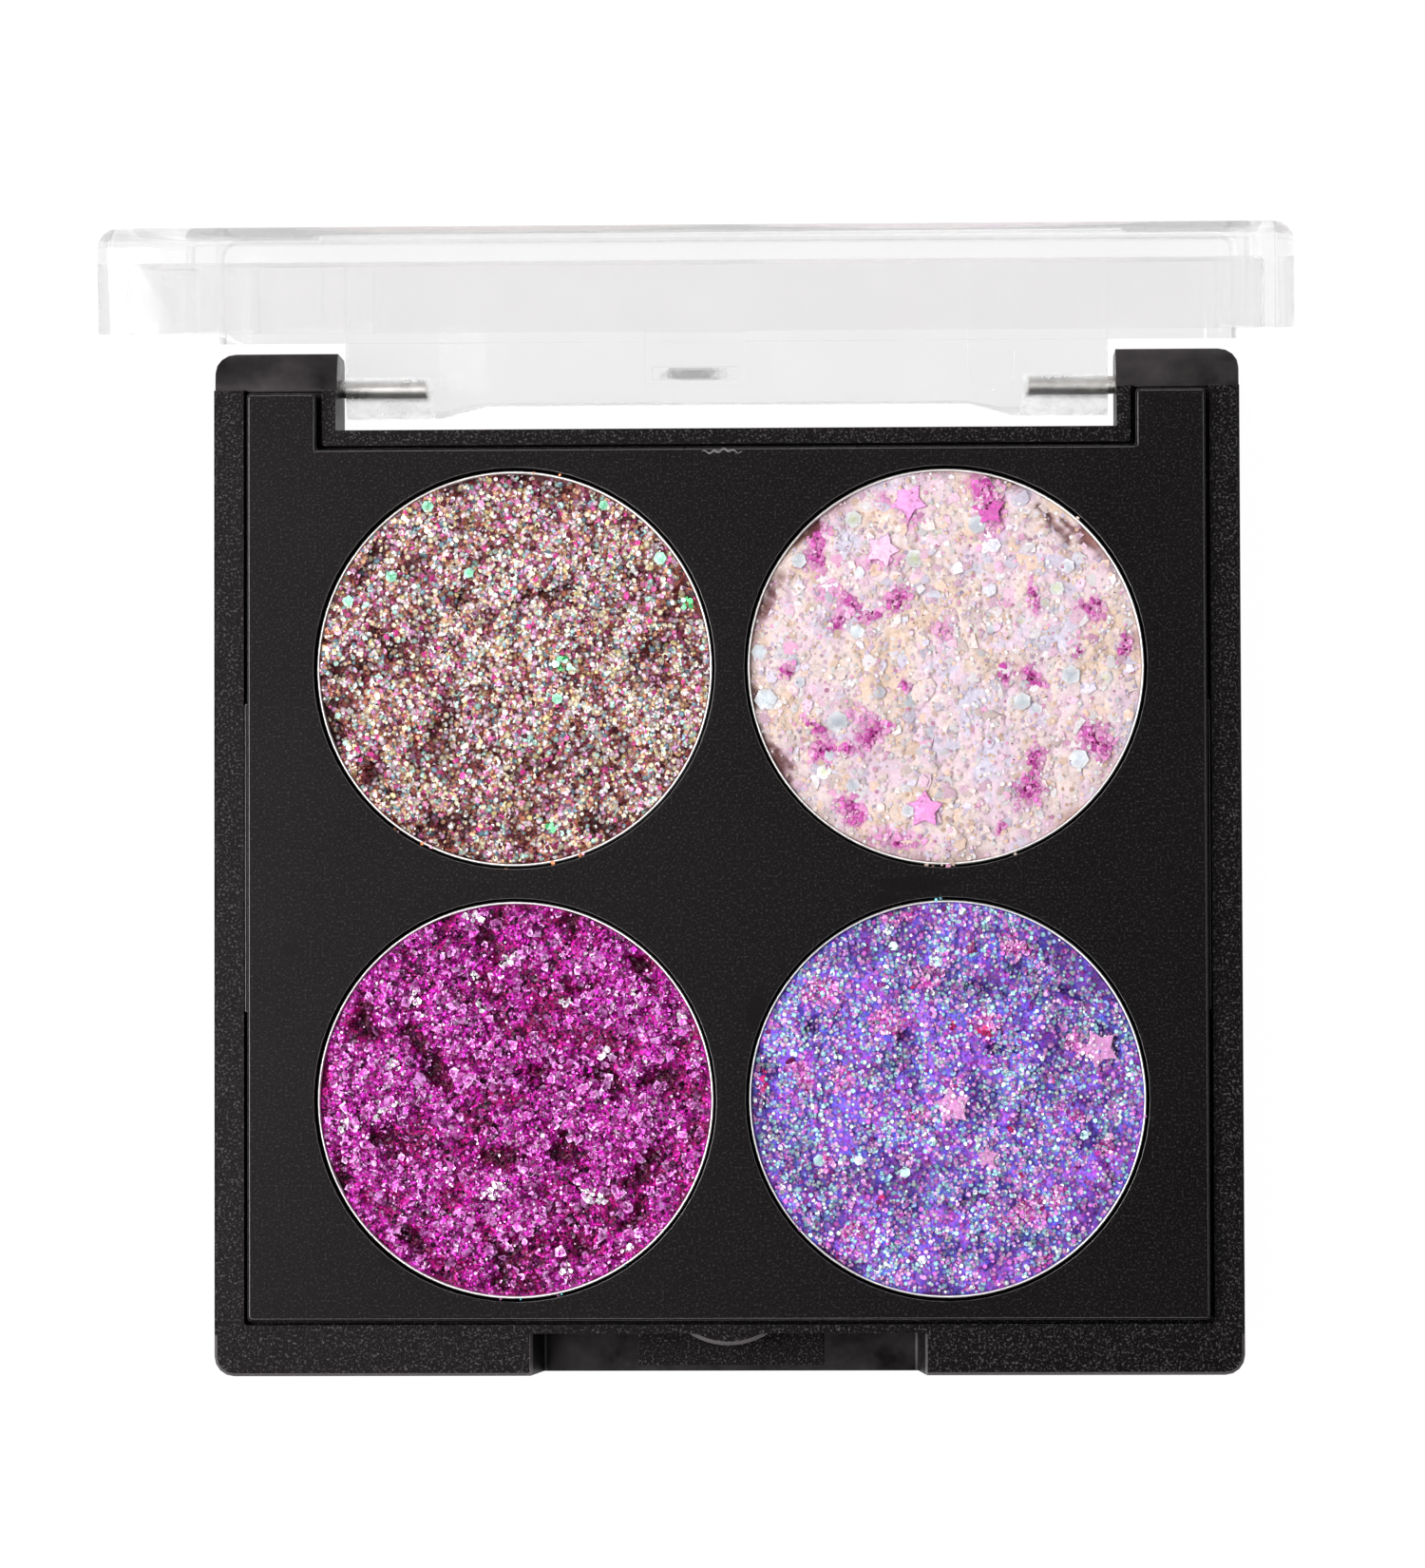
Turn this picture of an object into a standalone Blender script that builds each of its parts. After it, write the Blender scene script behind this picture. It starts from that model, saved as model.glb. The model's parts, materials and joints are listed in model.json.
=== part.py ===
"""Square four-pan eyeshadow palette with a clear hinged lid, shown open.

The origin is the centre of the case's flat underside, +Z is up, the hinge is at the back (+Y) and the
thumb notch at the front (-Y). Lengths below are in millimetres and become metres when a mesh is made.
"""

import math

import bmesh
import bpy
from mathutils import Matrix, Vector

MM = 0.001

# How far a cutter runs past the face it opens, and a joined shape runs into its neighbour
OVERCUT = 1.0
JOIN_DEPTH = 0.3

# Case
CASE_W = 67.5
CASE_D = 67.4
CASE_H = 7.0
CORNER_R = 1.3
FOOT_CHAMFER = 0.4
RIM_CHAMFER = 0.2
FLOOR_T = 1.2
LEDGE_Z = 5.3
EAR_LEDGE_Y = 31.13
EAR_ROUND_R = 2.9
EAR_STEPS = 10
NOTCH_HALF_W = 25.7
NOTCH_FRONT_Y = 28.45
UNDER_TRAY_HALF_W = 30.5
UNDER_TRAY_Y = (-29.8, 26.8)
UNDER_TRAY_R = 1.0

# Thumb notch and the catch in it
THUMB_TOP_HALF_W = 13.0
THUMB_LOW_HALF_W = 12.4
THUMB_BACK_Y = -30.93
CATCH_HALF_W = 2.7
CATCH_REACH = 0.83
CATCH_Z = (5.3, 6.4)
CATCH_STEPS = 12
CATCH_BEVEL = 0.25
CATCH_BEVEL_H = 0.3
GRIP_HALF_W = 6.1
GRIP_H = 0.15

# Tray
TRAY_TOP = 8.0
TRAY_T = 2.4
TRAY_HALF_W = 31.45
TRAY_FRONT = -30.03
TRAY_BACK = 27.1
EAR_INNER = 26.93
EAR_BACK = 30.8
TRAY_GAP = 0.33
TRAY_CHAMFER = 0.12
TRAY_CORNER_R = 0.2
SNAP_Y = (-9.8, 10.4)
SNAP_REACH = 0.2
SNAP_Z = (6.2, 7.4)

# Pans, two by two
PITCH = 28.3
PANS_X = 0.25
PANS_Y = -1.49
WELL_R = 13.2
CUP_R = 13.7
WELL_FLOOR_Z = 3.0
WELL_FLOOR_T = 0.8
PAN_R = 13.0
PAN_WALL = 0.35
PAN_BOTTOM_Z = 3.5
PAN_RIM_Z = 7.4
PAN_FOOT = 0.4
PAN_FOOT_INSIDE = 0.2
PAN_LIP = 0.12
GLUE_R = 9.0
GLUE_Z = (3.1, 3.4)
CAKE_R = 12.55
CAKE_GAP = 0.1
CAKE_TOP_Z = 7.15
CAKE_RELIEF = 0.2
CAKE_TAPER = 0.15
CAKE_EDGE_DROP = 0.2
PAN_SEGMENTS = 64
CAKE_SEGMENTS = 40
CAKE_RINGS = 7

# Hinge
AXIS_Y = 31.5
AXIS_Z = 3.1
KNUCKLE_R = 2.0
PIN_R = 0.6
PIN_CLEARANCE = 0.06
PIN_OUTER_X = 33.2
PIN_INNER_X = 20.0
BORE_INNER_X = 19.8
TONGUE_HALF_W = 25.2
PAD_INNER_X = 19.0
WEB_HALF_W = 16.0
WEB_T = 1.6
WEB_BELOW_AXIS = 1.2

# Lid, described closed and then turned open
LID_TOP = 13.1
LID_PLATE_T = 2.0
LID_WALL = 1.65
LID_SKIRT_Z = 7.12
LID_BACK_SKIRT_Z = 6.15
LID_STEP_Y = 31.3
LID_ROUND = 1.2
LID_ROUND_STEPS = 4
LID_INNER_R = 0.6
LID_INNER_CHAMFER = 0.25
LID_OPEN_DEG = 83.7
TAB_HALF_W = 2.8
TAB_LOW_Z = 4.1
TAB_Y = (-33.35, -32.35)
TAB_BEAD = 0.3
TAB_BEAD_ROOT = 0.2
TAB_BEAD_INSET = 0.4
TAB_BEAD_Z = (4.4, 5.1)

# Loose stars pressed into the two right-hand cakes: cake, x and y from its centre, turn in degrees
STAR_R = 1.3
STAR_WAIST = 0.56
STAR_T = 0.14
STAR_Z = 7.5
STARS = {
    "star_blush_front": ("back_right", -1.4, -9.5, 90.0),
    "star_blush_back_left": ("back_right", -2.4, 11.0, 55.0),
    "star_blush_back_right": ("back_right", 2.9, 10.2, 25.0),
    "star_violet_middle": ("front_right", 0.35, -0.55, 99.0),
    "star_violet_right": ("front_right", 10.0, 3.3, 115.0),
}

CORNERS = {
    "back_left": (-1, 1),
    "back_right": (1, 1),
    "front_left": (-1, -1),
    "front_right": (1, -1),
}
CAKE_COLOURS = {
    "back_left": ("cake_bronze", (0.42, 0.27, 0.25)),
    "back_right": ("cake_blush", (0.90, 0.72, 0.70)),
    "front_left": ("cake_magenta", (0.45, 0.02, 0.33)),
    "front_right": ("cake_violet", (0.26, 0.12, 0.55)),
}


def clear_scene():
    for obj in list(bpy.data.objects):
        bpy.data.objects.remove(obj, do_unlink=True)


def material(name, colour, roughness, metallic=0.0, alpha=1.0):
    mat = bpy.data.materials.get(name) or bpy.data.materials.new(name)
    mat.use_nodes = True
    shader = mat.node_tree.nodes["Principled BSDF"]
    shader.inputs["Base Color"].default_value = (*colour, 1.0)
    shader.inputs["Roughness"].default_value = roughness
    shader.inputs["Metallic"].default_value = metallic
    shader.inputs["Alpha"].default_value = alpha
    return mat


def mesh_object(name, bm, mat=None):
    """The bmesh, in millimetres, as an object in metres with outward normals."""
    bmesh.ops.scale(bm, vec=Vector((MM, MM, MM)), verts=bm.verts)
    bmesh.ops.recalc_face_normals(bm, faces=bm.faces)
    mesh = bpy.data.meshes.new(name)
    bm.to_mesh(mesh)
    bm.free()
    if mat:
        mesh.materials.append(mat)
    obj = bpy.data.objects.new(name, mesh)
    bpy.context.scene.collection.objects.link(obj)
    return obj


def loft(rings):
    """A closed solid through rings of equal length, each a list of 3-D points, with flat end caps."""
    bm = bmesh.new()
    loops = [[bm.verts.new(point) for point in ring] for ring in rings]
    count = len(rings[0])
    for lower, upper in zip(loops, loops[1:]):
        for i in range(count):
            j = (i + 1) % count
            bm.faces.new((lower[i], lower[j], upper[j], upper[i]))
    bm.faces.new(loops[0][::-1])
    bm.faces.new(loops[-1])
    return bm


def stack(outline, levels):
    """A solid from (z, inset) levels, each the outline drawn in by the inset."""
    return loft([[(x, y, z) for x, y in outline(inset)] for z, inset in levels])


def filleted(corners, radius, steps=4):
    """The polygon with each corner, convex or concave, rounded to the radius."""
    points = []
    count = len(corners)
    for i, corner in enumerate(corners):
        here = Vector(corner)
        before = (Vector(corners[i - 1]) - here).normalized()
        after = (Vector(corners[(i + 1) % count]) - here).normalized()
        half = before.angle(after) / 2
        centre = here + (before + after).normalized() * radius / math.sin(half)
        start = here + before * radius / math.tan(half) - centre
        end = here + after * radius / math.tan(half) - centre
        turn = start.angle_signed(end)
        for step in range(steps + 1):
            arm = start.copy()
            arm.rotate(Matrix.Rotation(-turn * step / steps, 2))
            points.append(tuple(centre + arm))
    return points


def rectangle(half_w, front, back, radius):
    """A function giving the rounded rectangle drawn in by an inset."""

    def outline(inset):
        x = half_w - inset
        y0 = front + inset
        y1 = back - inset
        return filleted([(-x, y0), (x, y0), (x, y1), (-x, y1)], max(radius - inset, 0.3))

    return outline


def tray_outline(inset):
    """The tray's plan, with an ear at each back corner beside the hinge notch."""
    x = TRAY_HALF_W - inset
    ear = EAR_INNER + inset
    front = TRAY_FRONT + inset
    back = TRAY_BACK - inset
    ear_back = EAR_BACK - inset
    corners = [
        (-x, front),
        (x, front),
        (x, ear_back),
        (ear, ear_back),
        (ear, back),
        (-ear, back),
        (-ear, ear_back),
        (-x, ear_back),
    ]
    return filleted(corners, TRAY_CORNER_R, 3)


def circle(radius, centre=(0.0, 0.0), segments=PAN_SEGMENTS):
    angles = [2 * math.pi * i / segments for i in range(segments)]
    return [(centre[0] + radius * math.cos(a), centre[1] + radius * math.sin(a)) for a in angles]


def cylinder(radius, centre, z0, z1, segments=PAN_SEGMENTS):
    points = circle(radius, centre, segments)
    return loft([[(x, y, z) for x, y in points] for z in (z0, z1)])


def rod(radius, x0, x1, segments=24):
    """A round bar along X on the hinge axis."""
    points = circle(radius, (AXIS_Y, AXIS_Z), segments)
    return loft([[(x, y, z) for y, z in points] for x in (x0, x1)])


def box(x0, x1, y0, y1, z0, z1):
    corners = [(x0, y0), (x1, y0), (x1, y1), (x0, y1)]
    return loft([[(x, y, z) for x, y in corners] for z in (z0, z1)])


def combine(obj, bm, operation):
    """Cuts the bmesh from the object, or joins it on, through a hidden helper."""
    helper = mesh_object(f"helper_{len(bpy.data.objects)}", bm)
    helper.hide_render = True
    helper.display_type = "WIRE"
    modifier = obj.modifiers.new(operation.lower(), "BOOLEAN")
    modifier.operation = operation
    modifier.solver = "EXACT"
    modifier.object = helper
    return helper


def cut(obj, bm):
    return combine(obj, bm, "DIFFERENCE")


def join(obj, bm):
    return combine(obj, bm, "UNION")


def pan_centre(corner):
    side, end = CORNERS[corner]
    return (PANS_X + side * PITCH / 2, PANS_Y + end * PITCH / 2)


def thumb_notch():
    """The notch's cutter, wider at the top than at the floor."""
    rings = []
    slope = (THUMB_TOP_HALF_W - THUMB_LOW_HALF_W) / (CASE_H - FLOOR_T)
    for z in (FLOOR_T, CASE_H + OVERCUT):
        half_w = THUMB_LOW_HALF_W + slope * (z - FLOOR_T)
        front = -CASE_D / 2 - OVERCUT
        corners = [(-half_w, front), (half_w, front), (half_w, THUMB_BACK_Y), (-half_w, THUMB_BACK_Y)]
        rings.append([(x, y, z) for x, y in corners])
    return loft(rings)


def catch():
    """The lens-shaped bump on the notch's wall that the lid's tab passes."""
    radius = (CATCH_HALF_W**2 + CATCH_REACH**2) / (2 * CATCH_REACH)
    centre_y = THUMB_BACK_Y - CATCH_REACH + radius
    sweep = math.asin(CATCH_HALF_W / radius)
    angles = [sweep * (2 * i / CATCH_STEPS - 1) for i in range(CATCH_STEPS + 1)]
    root = THUMB_BACK_Y + JOIN_DEPTH
    low, high = CATCH_Z
    levels = [
        (low, CATCH_BEVEL),
        (low + CATCH_BEVEL_H, 0.0),
        (high - CATCH_BEVEL_H, 0.0),
        (high, CATCH_BEVEL),
    ]
    rings = []
    for z, inset in levels:
        arc = [
            ((radius - inset) * math.sin(a), centre_y - (radius - inset) * math.cos(a))
            for a in angles
        ]
        outline = arc + [(arc[-1][0], root), (arc[0][0], root)]
        rings.append([(x, y, z) for x, y in outline])
    return loft(rings)


def over_ears(reach):
    """The space above the ears: flat, then rounded about the hinge to let the lid's back skirt swing past."""
    profile = [(EAR_LEDGE_Y, CASE_H + OVERCUT), (EAR_LEDGE_Y, AXIS_Z + EAR_ROUND_R)]
    for i in range(EAR_STEPS + 1):
        angle = math.pi / 2 * (1 - i / EAR_STEPS)
        out = EAR_ROUND_R * math.cos(angle)
        up = EAR_ROUND_R * math.sin(angle)
        profile.append((AXIS_Y + out, AXIS_Z + up))
    profile += [(reach, AXIS_Z), (reach, CASE_H + OVERCUT)]
    return loft([[(x, y, z) for y, z in profile] for x in (-reach, reach)])


def make_case():
    body = rectangle(CASE_W / 2, -CASE_D / 2, CASE_D / 2, CORNER_R)
    levels = [
        (0.0, FOOT_CHAMFER),
        (FOOT_CHAMFER, 0.0),
        (CASE_H - RIM_CHAMFER, 0.0),
        (CASE_H, RIM_CHAMFER),
    ]
    black = material("case_black", (0.02, 0.02, 0.02), 0.5)
    case = mesh_object("base_case", stack(body, levels), black)
    top = CASE_H + OVERCUT
    under_tray = rectangle(UNDER_TRAY_HALF_W, *UNDER_TRAY_Y, UNDER_TRAY_R)
    cut(case, stack(under_tray, [(FLOOR_T, 0.0), (top, 0.0)]))
    cut(case, stack(lambda inset: tray_outline(inset - TRAY_GAP), [(LEDGE_Z, 0.0), (top, 0.0)]))
    reach = CASE_W
    cut(case, box(-NOTCH_HALF_W, NOTCH_HALF_W, NOTCH_FRONT_Y, reach, -OVERCUT, top))
    cut(case, over_ears(reach))
    cut(case, thumb_notch())
    join(case, catch())
    grip_y = (-CASE_D / 2 + FOOT_CHAMFER, THUMB_BACK_Y + JOIN_DEPTH)
    join(case, box(-GRIP_HALF_W, GRIP_HALF_W, *grip_y, FLOOR_T - JOIN_DEPTH, FLOOR_T + GRIP_H))
    for side in (-1, 1):
        cut(case, rod(PIN_R + PIN_CLEARANCE, side * (NOTCH_HALF_W - OVERCUT), side * reach))
    return case


def make_tray():
    levels = [
        (TRAY_TOP - TRAY_T, 0.0),
        (TRAY_TOP - TRAY_CHAMFER, 0.0),
        (TRAY_TOP, TRAY_CHAMFER),
    ]
    black = material("tray_black", (0.025, 0.024, 0.025), 0.6)
    tray = mesh_object("pan_tray", stack(tray_outline, levels), black)
    for side in (-1, 1):
        x0, x1 = sorted((side * (TRAY_HALF_W - JOIN_DEPTH), side * (TRAY_HALF_W + SNAP_REACH)))
        join(tray, box(x0, x1, *SNAP_Y, *SNAP_Z))
    for corner in CORNERS:
        centre = pan_centre(corner)
        join(tray, cylinder(CUP_R, centre, WELL_FLOOR_Z - WELL_FLOOR_T, TRAY_TOP - TRAY_T / 2))
        cut(tray, cylinder(WELL_R, centre, WELL_FLOOR_Z, TRAY_TOP + OVERCUT))
    return tray


def make_pan(corner):
    """A pressed cup with a thin wall, turned from its section."""
    centre = pan_centre(corner)
    inner = PAN_R - PAN_WALL
    floor = PAN_BOTTOM_Z + PAN_WALL
    section = [
        (PAN_R - PAN_FOOT, PAN_BOTTOM_Z),
        (PAN_R, PAN_BOTTOM_Z + PAN_FOOT),
        (PAN_R, PAN_RIM_Z - PAN_LIP),
        (PAN_R - PAN_LIP, PAN_RIM_Z),
        (inner + PAN_LIP, PAN_RIM_Z),
        (inner, PAN_RIM_Z - PAN_LIP),
        (inner, floor + PAN_FOOT_INSIDE),
        (inner - PAN_FOOT_INSIDE, floor),
    ]
    rings = [[(x, y, z) for x, y in circle(r, centre)] for r, z in section]
    metal = material("pan_aluminium", (0.8, 0.8, 0.82), 0.25, 1.0)
    return mesh_object(f"pan_{corner}", loft(rings), metal)


def relief(x, y, phase):
    """A gentle unevenness between 0 and 1, so that a pressed cake isn't flat."""
    across = math.sin(1.1 * x + phase) * math.cos(0.9 * y - phase)
    slanted = math.sin(0.5 * x - 0.7 * y + 2 * phase)
    return 0.5 + 0.25 * (across + slanted)


def make_cake(corner, phase):
    """A pressed cake: a closed disc with a slightly uneven top and a dropped edge."""
    centre = pan_centre(corner)
    bottom = PAN_BOTTOM_Z + PAN_WALL + CAKE_GAP
    rings = [[(x, y, bottom) for x, y in circle(CAKE_R - CAKE_TAPER, centre, CAKE_SEGMENTS)]]
    for ring in range(CAKE_RINGS):
        radius = CAKE_R * (1 - ring / CAKE_RINGS)
        top = CAKE_TOP_Z - (CAKE_EDGE_DROP if ring == 0 else 0.0)
        outline = circle(radius, centre, CAKE_SEGMENTS)
        rings.append([(x, y, top + CAKE_RELIEF * relief(x, y, phase)) for x, y in outline])
    name, colour = CAKE_COLOURS[corner]
    return mesh_object(f"shadow_{corner}", loft(rings), material(name, colour, 0.6))


def make_glue(corner):
    bm = cylinder(GLUE_R, pan_centre(corner), *GLUE_Z, segments=32)
    return mesh_object(f"glue_{corner}", bm, material("pan_glue", (0.85, 0.8, 0.6), 0.5))


def make_star(name, corner, x, y, turn):
    """A thin five-pointed sequin lying flat on a cake."""
    centre = Vector(pan_centre(corner)) + Vector((x, y))
    outline = []
    for i in range(10):
        angle = math.radians(turn + 36 * i)
        radius = STAR_R if i % 2 == 0 else STAR_R * STAR_WAIST
        outline.append((centre.x + radius * math.cos(angle), centre.y + radius * math.sin(angle)))
    rings = [[(px, py, z) for px, py in outline] for z in (STAR_Z, STAR_Z + STAR_T)]
    return mesh_object(name, loft(rings), material("star_pink", (0.85, 0.25, 0.6), 0.3))


def tongue_section(front, back, low_z, round_y, top_z, steps=10):
    """One section of the lid's back web: straight sides over a rounded lower end."""
    middle = (front + back) / 2
    half = (back - front) / 2
    points = [(back, top_z)]
    for i in range(steps + 1):
        angle = math.pi * i / steps
        points.append((middle + half * math.cos(angle), low_z + round_y - round_y * math.sin(angle)))
    points.append((front, top_z))
    return points


def tongue():
    """The web that hangs from the lid's back wall: a thick pad and knuckle at each end, thin between."""
    top = LID_TOP - LID_PLATE_T / 2
    back = AXIS_Y + KNUCKLE_R
    pad = tongue_section(AXIS_Y - KNUCKLE_R, back, AXIS_Z - KNUCKLE_R, KNUCKLE_R, top)
    web = tongue_section(back - WEB_T, back, AXIS_Z - WEB_BELOW_AXIS, WEB_T / 2, top)
    stations = [
        (-TONGUE_HALF_W, pad),
        (-PAD_INNER_X, pad),
        (-WEB_HALF_W, web),
        (WEB_HALF_W, web),
        (PAD_INNER_X, pad),
        (TONGUE_HALF_W, pad),
    ]
    return loft([[(x, y, z) for y, z in section] for x, section in stations])


def lid_shell():
    """The lid's box, closed: walls and a plate with a rounded edge, before anything is cut or joined."""
    body = rectangle(CASE_W / 2, -CASE_D / 2, CASE_D / 2, CORNER_R)
    levels = [(LID_BACK_SKIRT_Z, 0.0)]
    for i in range(LID_ROUND_STEPS + 1):
        angle = math.pi / 2 * i / LID_ROUND_STEPS
        inset = LID_ROUND * (1 - math.cos(angle))
        levels.append((LID_TOP - LID_ROUND + LID_ROUND * math.sin(angle), inset))
    clear = material("clear_lid", (0.95, 0.95, 0.97), 0.05, alpha=0.3)
    return mesh_object("lid", stack(body, levels), clear)


def lid_hollow():
    half_w = CASE_W / 2 - LID_WALL
    half_d = CASE_D / 2 - LID_WALL
    top = LID_TOP - LID_PLATE_T
    levels = [
        (LID_BACK_SKIRT_Z - OVERCUT, 0.0),
        (top - LID_INNER_CHAMFER, 0.0),
        (top, LID_INNER_CHAMFER),
    ]
    return stack(rectangle(half_w, -half_d, half_d, LID_INNER_R), levels)


def lid_tab():
    """The snap tab that hangs from the front wall, and the bead on its inner face."""
    bead_half_w = TAB_HALF_W - TAB_BEAD_INSET
    bead_y = (TAB_Y[1] - TAB_BEAD_ROOT, TAB_Y[1] + TAB_BEAD)
    strip = box(-TAB_HALF_W, TAB_HALF_W, *TAB_Y, TAB_LOW_Z, LID_SKIRT_Z + OVERCUT)
    bead = box(-bead_half_w, bead_half_w, *bead_y, *TAB_BEAD_Z)
    return strip, bead


def make_lid():
    """The lid, modelled closed and then turned to its open rest angle about the hinge axis."""
    lid = lid_shell()
    helpers = [cut(lid, lid_hollow())]
    reach = CASE_W
    low = LID_BACK_SKIRT_Z - OVERCUT
    helpers.append(cut(lid, box(-reach, reach, -reach, LID_STEP_Y, low, LID_SKIRT_Z)))
    helpers.append(join(lid, tongue()))
    for shape in lid_tab():
        helpers.append(join(lid, shape))
    for side in (-1, 1):
        bore = rod(PIN_R + PIN_CLEARANCE, side * BORE_INNER_X, side * (TONGUE_HALF_W + OVERCUT))
        helpers.append(cut(lid, bore))
    axis = Vector((0.0, AXIS_Y, AXIS_Z)) * MM
    open_up = Matrix.Rotation(math.radians(-LID_OPEN_DEG), 4, "X")
    for obj in (lid, *helpers):
        obj.data.transform(Matrix.Translation(-axis))
        obj.matrix_world = Matrix.Translation(axis) @ open_up
    return lid


def make_pin(name, side):
    metal = material("pin_steel", (0.6, 0.6, 0.62), 0.3, 1.0)
    return mesh_object(name, rod(PIN_R, side * PIN_INNER_X, side * PIN_OUTER_X, segments=20), metal)


def main():
    clear_scene()
    make_case()
    make_tray()
    for phase, corner in enumerate(CORNERS):
        make_pan(corner)
        make_cake(corner, phase)
        make_glue(corner)
    for name, (corner, x, y, turn) in STARS.items():
        make_star(name, corner, x, y, turn)
    make_lid()
    make_pin("hinge_pin_left", -1)
    make_pin("hinge_pin_right", 1)


main()
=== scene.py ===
import json
import math

import bpy
import numpy as np
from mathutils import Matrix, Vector

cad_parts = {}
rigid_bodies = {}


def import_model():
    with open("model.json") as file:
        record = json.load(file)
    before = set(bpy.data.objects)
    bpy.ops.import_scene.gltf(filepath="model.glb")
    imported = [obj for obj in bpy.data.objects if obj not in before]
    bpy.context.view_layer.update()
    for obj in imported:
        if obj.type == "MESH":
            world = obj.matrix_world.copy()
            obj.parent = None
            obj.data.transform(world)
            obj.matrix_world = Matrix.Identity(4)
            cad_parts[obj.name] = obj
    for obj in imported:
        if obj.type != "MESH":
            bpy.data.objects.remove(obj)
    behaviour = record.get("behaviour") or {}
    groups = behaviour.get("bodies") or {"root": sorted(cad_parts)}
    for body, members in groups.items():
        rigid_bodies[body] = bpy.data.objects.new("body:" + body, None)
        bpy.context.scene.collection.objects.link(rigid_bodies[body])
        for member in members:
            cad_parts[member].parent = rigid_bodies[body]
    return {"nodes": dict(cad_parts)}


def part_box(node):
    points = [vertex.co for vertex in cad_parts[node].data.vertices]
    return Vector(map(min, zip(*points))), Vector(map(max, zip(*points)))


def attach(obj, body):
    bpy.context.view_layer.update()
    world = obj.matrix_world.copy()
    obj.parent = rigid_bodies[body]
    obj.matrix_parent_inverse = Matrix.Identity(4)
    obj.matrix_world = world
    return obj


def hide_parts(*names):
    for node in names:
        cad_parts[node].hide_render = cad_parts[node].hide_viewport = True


# Looks of the four-pan eyeshadow palette, lying on its back on a white table with the clear lid open.
# Sizes are in millimetres and angles in degrees. Lengths become metres when a mesh or a node takes them.

MM = 0.001

# Camera: almost straight above the palette
CAMERA_AT = (11.99, -9.70, 426.42)
CAMERA_TURN_DEG = (2.005, 1.770, -0.185)
CAMERA_LENS = 146.9
CAMERA_SENSOR = 36.0

# Pans. The floor is a fan of faces inside PAN_MIDDLE_R.
PAN_WALL = 0.16
PAN_FLOOR = 0.4
PAN_SEGMENTS = 240
PAN_MIDDLE_R = 0.5

# Cakes
CAKE_GAP = 0.02
CAKE_RINGS = 80
CAKE_SEGMENTS = 300
CAKE_FLOOR_LIFT = 0.05

# A cake's surface: the shares of its lumps, clumps and grit, their middle level, and how far the strokes and
# the gaps dip, as parts of its depth. A gap runs where the veins and GAP_BEND of the bends add up to
# GAP_LEVEL. At the wall the surface falls by WALL_DROP over WALL_WIDTH.
ROLL_SHARES = (0.55, 0.30, 0.15)
ROLL_LEVEL = 0.62
HOLLOW_DIP = 0.5
GAP_DIP = 0.2
GAP_LEVEL = 0.625
GAP_WIDTH = 0.045
GAP_BEND = 0.25
WALL_WIDTH = 0.9
WALL_DROP = 0.2

# A cake's painted light and shade: the noise that its light rises from, how much more brings it to full, and
# how dark the painted shade makes the hollows and the gaps
TONE_FROM = 0.25
TONE_RISE = 0.35
HOLLOW_SHADE = 0.9
GAP_SHADE = 0.7

# Flakes: how many sides one has, and the steepest that one stands
FLAKE_SIDES = 6
STEEPEST = 48

# Star sequins: the waist as a part of the radius, and how much darker the film is than its colour
STAR_POINTS = 5
STAR_WAIST = 0.56
STAR_DIM = 0.62
STAR_THICK = 0.05
STAR_LIFT = 0.18
STAR_LEAN = (4.0, -3.0)

# The lid: the milky knuckles, painted shade on the end walls and hinge side, and a painted shadow along the
# bead on the snap tab.
# TAB_REACH and BEAD_Y are measured from the tab's tip.
KNUCKLE_FROM = 19.6
KNUCKLE_R = 2.15
END_WALL = 1.9
HINGE_SIDE_Z = 14.0
TAB_REACH = 3.0
BEAD_Y = (0.35, 0.95)
BEAD_HALF_W = 1.9

# Black plastic: how strongly it reflects, and the warm cast of what it reflects
BLACK_SHINE = 0.062
EAR_SHINE = 0.15
WARM = (1.0, 0.90, 0.92)

# Where the case's finish changes from grainy to smooth, and the painted highlight lines down the thumb
# notch's ends
EAR_LINE = 31.1
GRIP_LINE = -31.0
GRIP_HEIGHT = 1.25
NOTCH_EDGES = (12.3, 12.95)
NOTCH_LINE = 0.07

# The tray: the back edge of its middle part, and its darker patches as (x, y, half width, half depth)
TRAY_MIDDLE_BACK = 27.1
DARK_PATCHES = (
    (12.2, -1.6, 3.6, 0.7), (10.4, -2.6, 1.2, 0.5), (2.0, -9.8, 0.9, 1.6), (27.1, -18.6, 0.7, 1.8),
    (-22.0, -26.0, 1.1, 0.9), (-28.6, -5.8, 1.0, 0.6),
)

# The pale scar left by the moulding gate on the tray's back edge
SCAR_W = 2.6
SCAR_STEPS = 24
SCAR_THICK = 0.09
SCAR_OFF_CENTRE = -0.2
SCAR_FROM_EDGE = 0.25
SCAR_SWING = 0.16

# Soft edges of the frame's pieces, and the angle that counts as an edge
CASE_EDGE = 0.07
TRAY_EDGE = 0.05
LID_EDGE = 0.15
EDGE_ANGLE = 38.0

# Studio: how bright the surroundings are to all but the camera, and the table
WORLD_DIM = 0.30
TABLE_HALF = 3000.0
TABLE_DROP = 0.2

CORNERS = ("back_left", "back_right", "front_left", "front_right")


# ---------------------------------------------------------------- small tools


def srgb(hex_colour):
    """A #rrggbb colour as linear light."""
    values = [int(hex_colour[i : i + 2], 16) / 255 for i in (1, 3, 5)]
    return tuple(v / 12.92 if v <= 0.04045 else ((v + 0.055) / 1.055) ** 2.4 for v in values)


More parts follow.
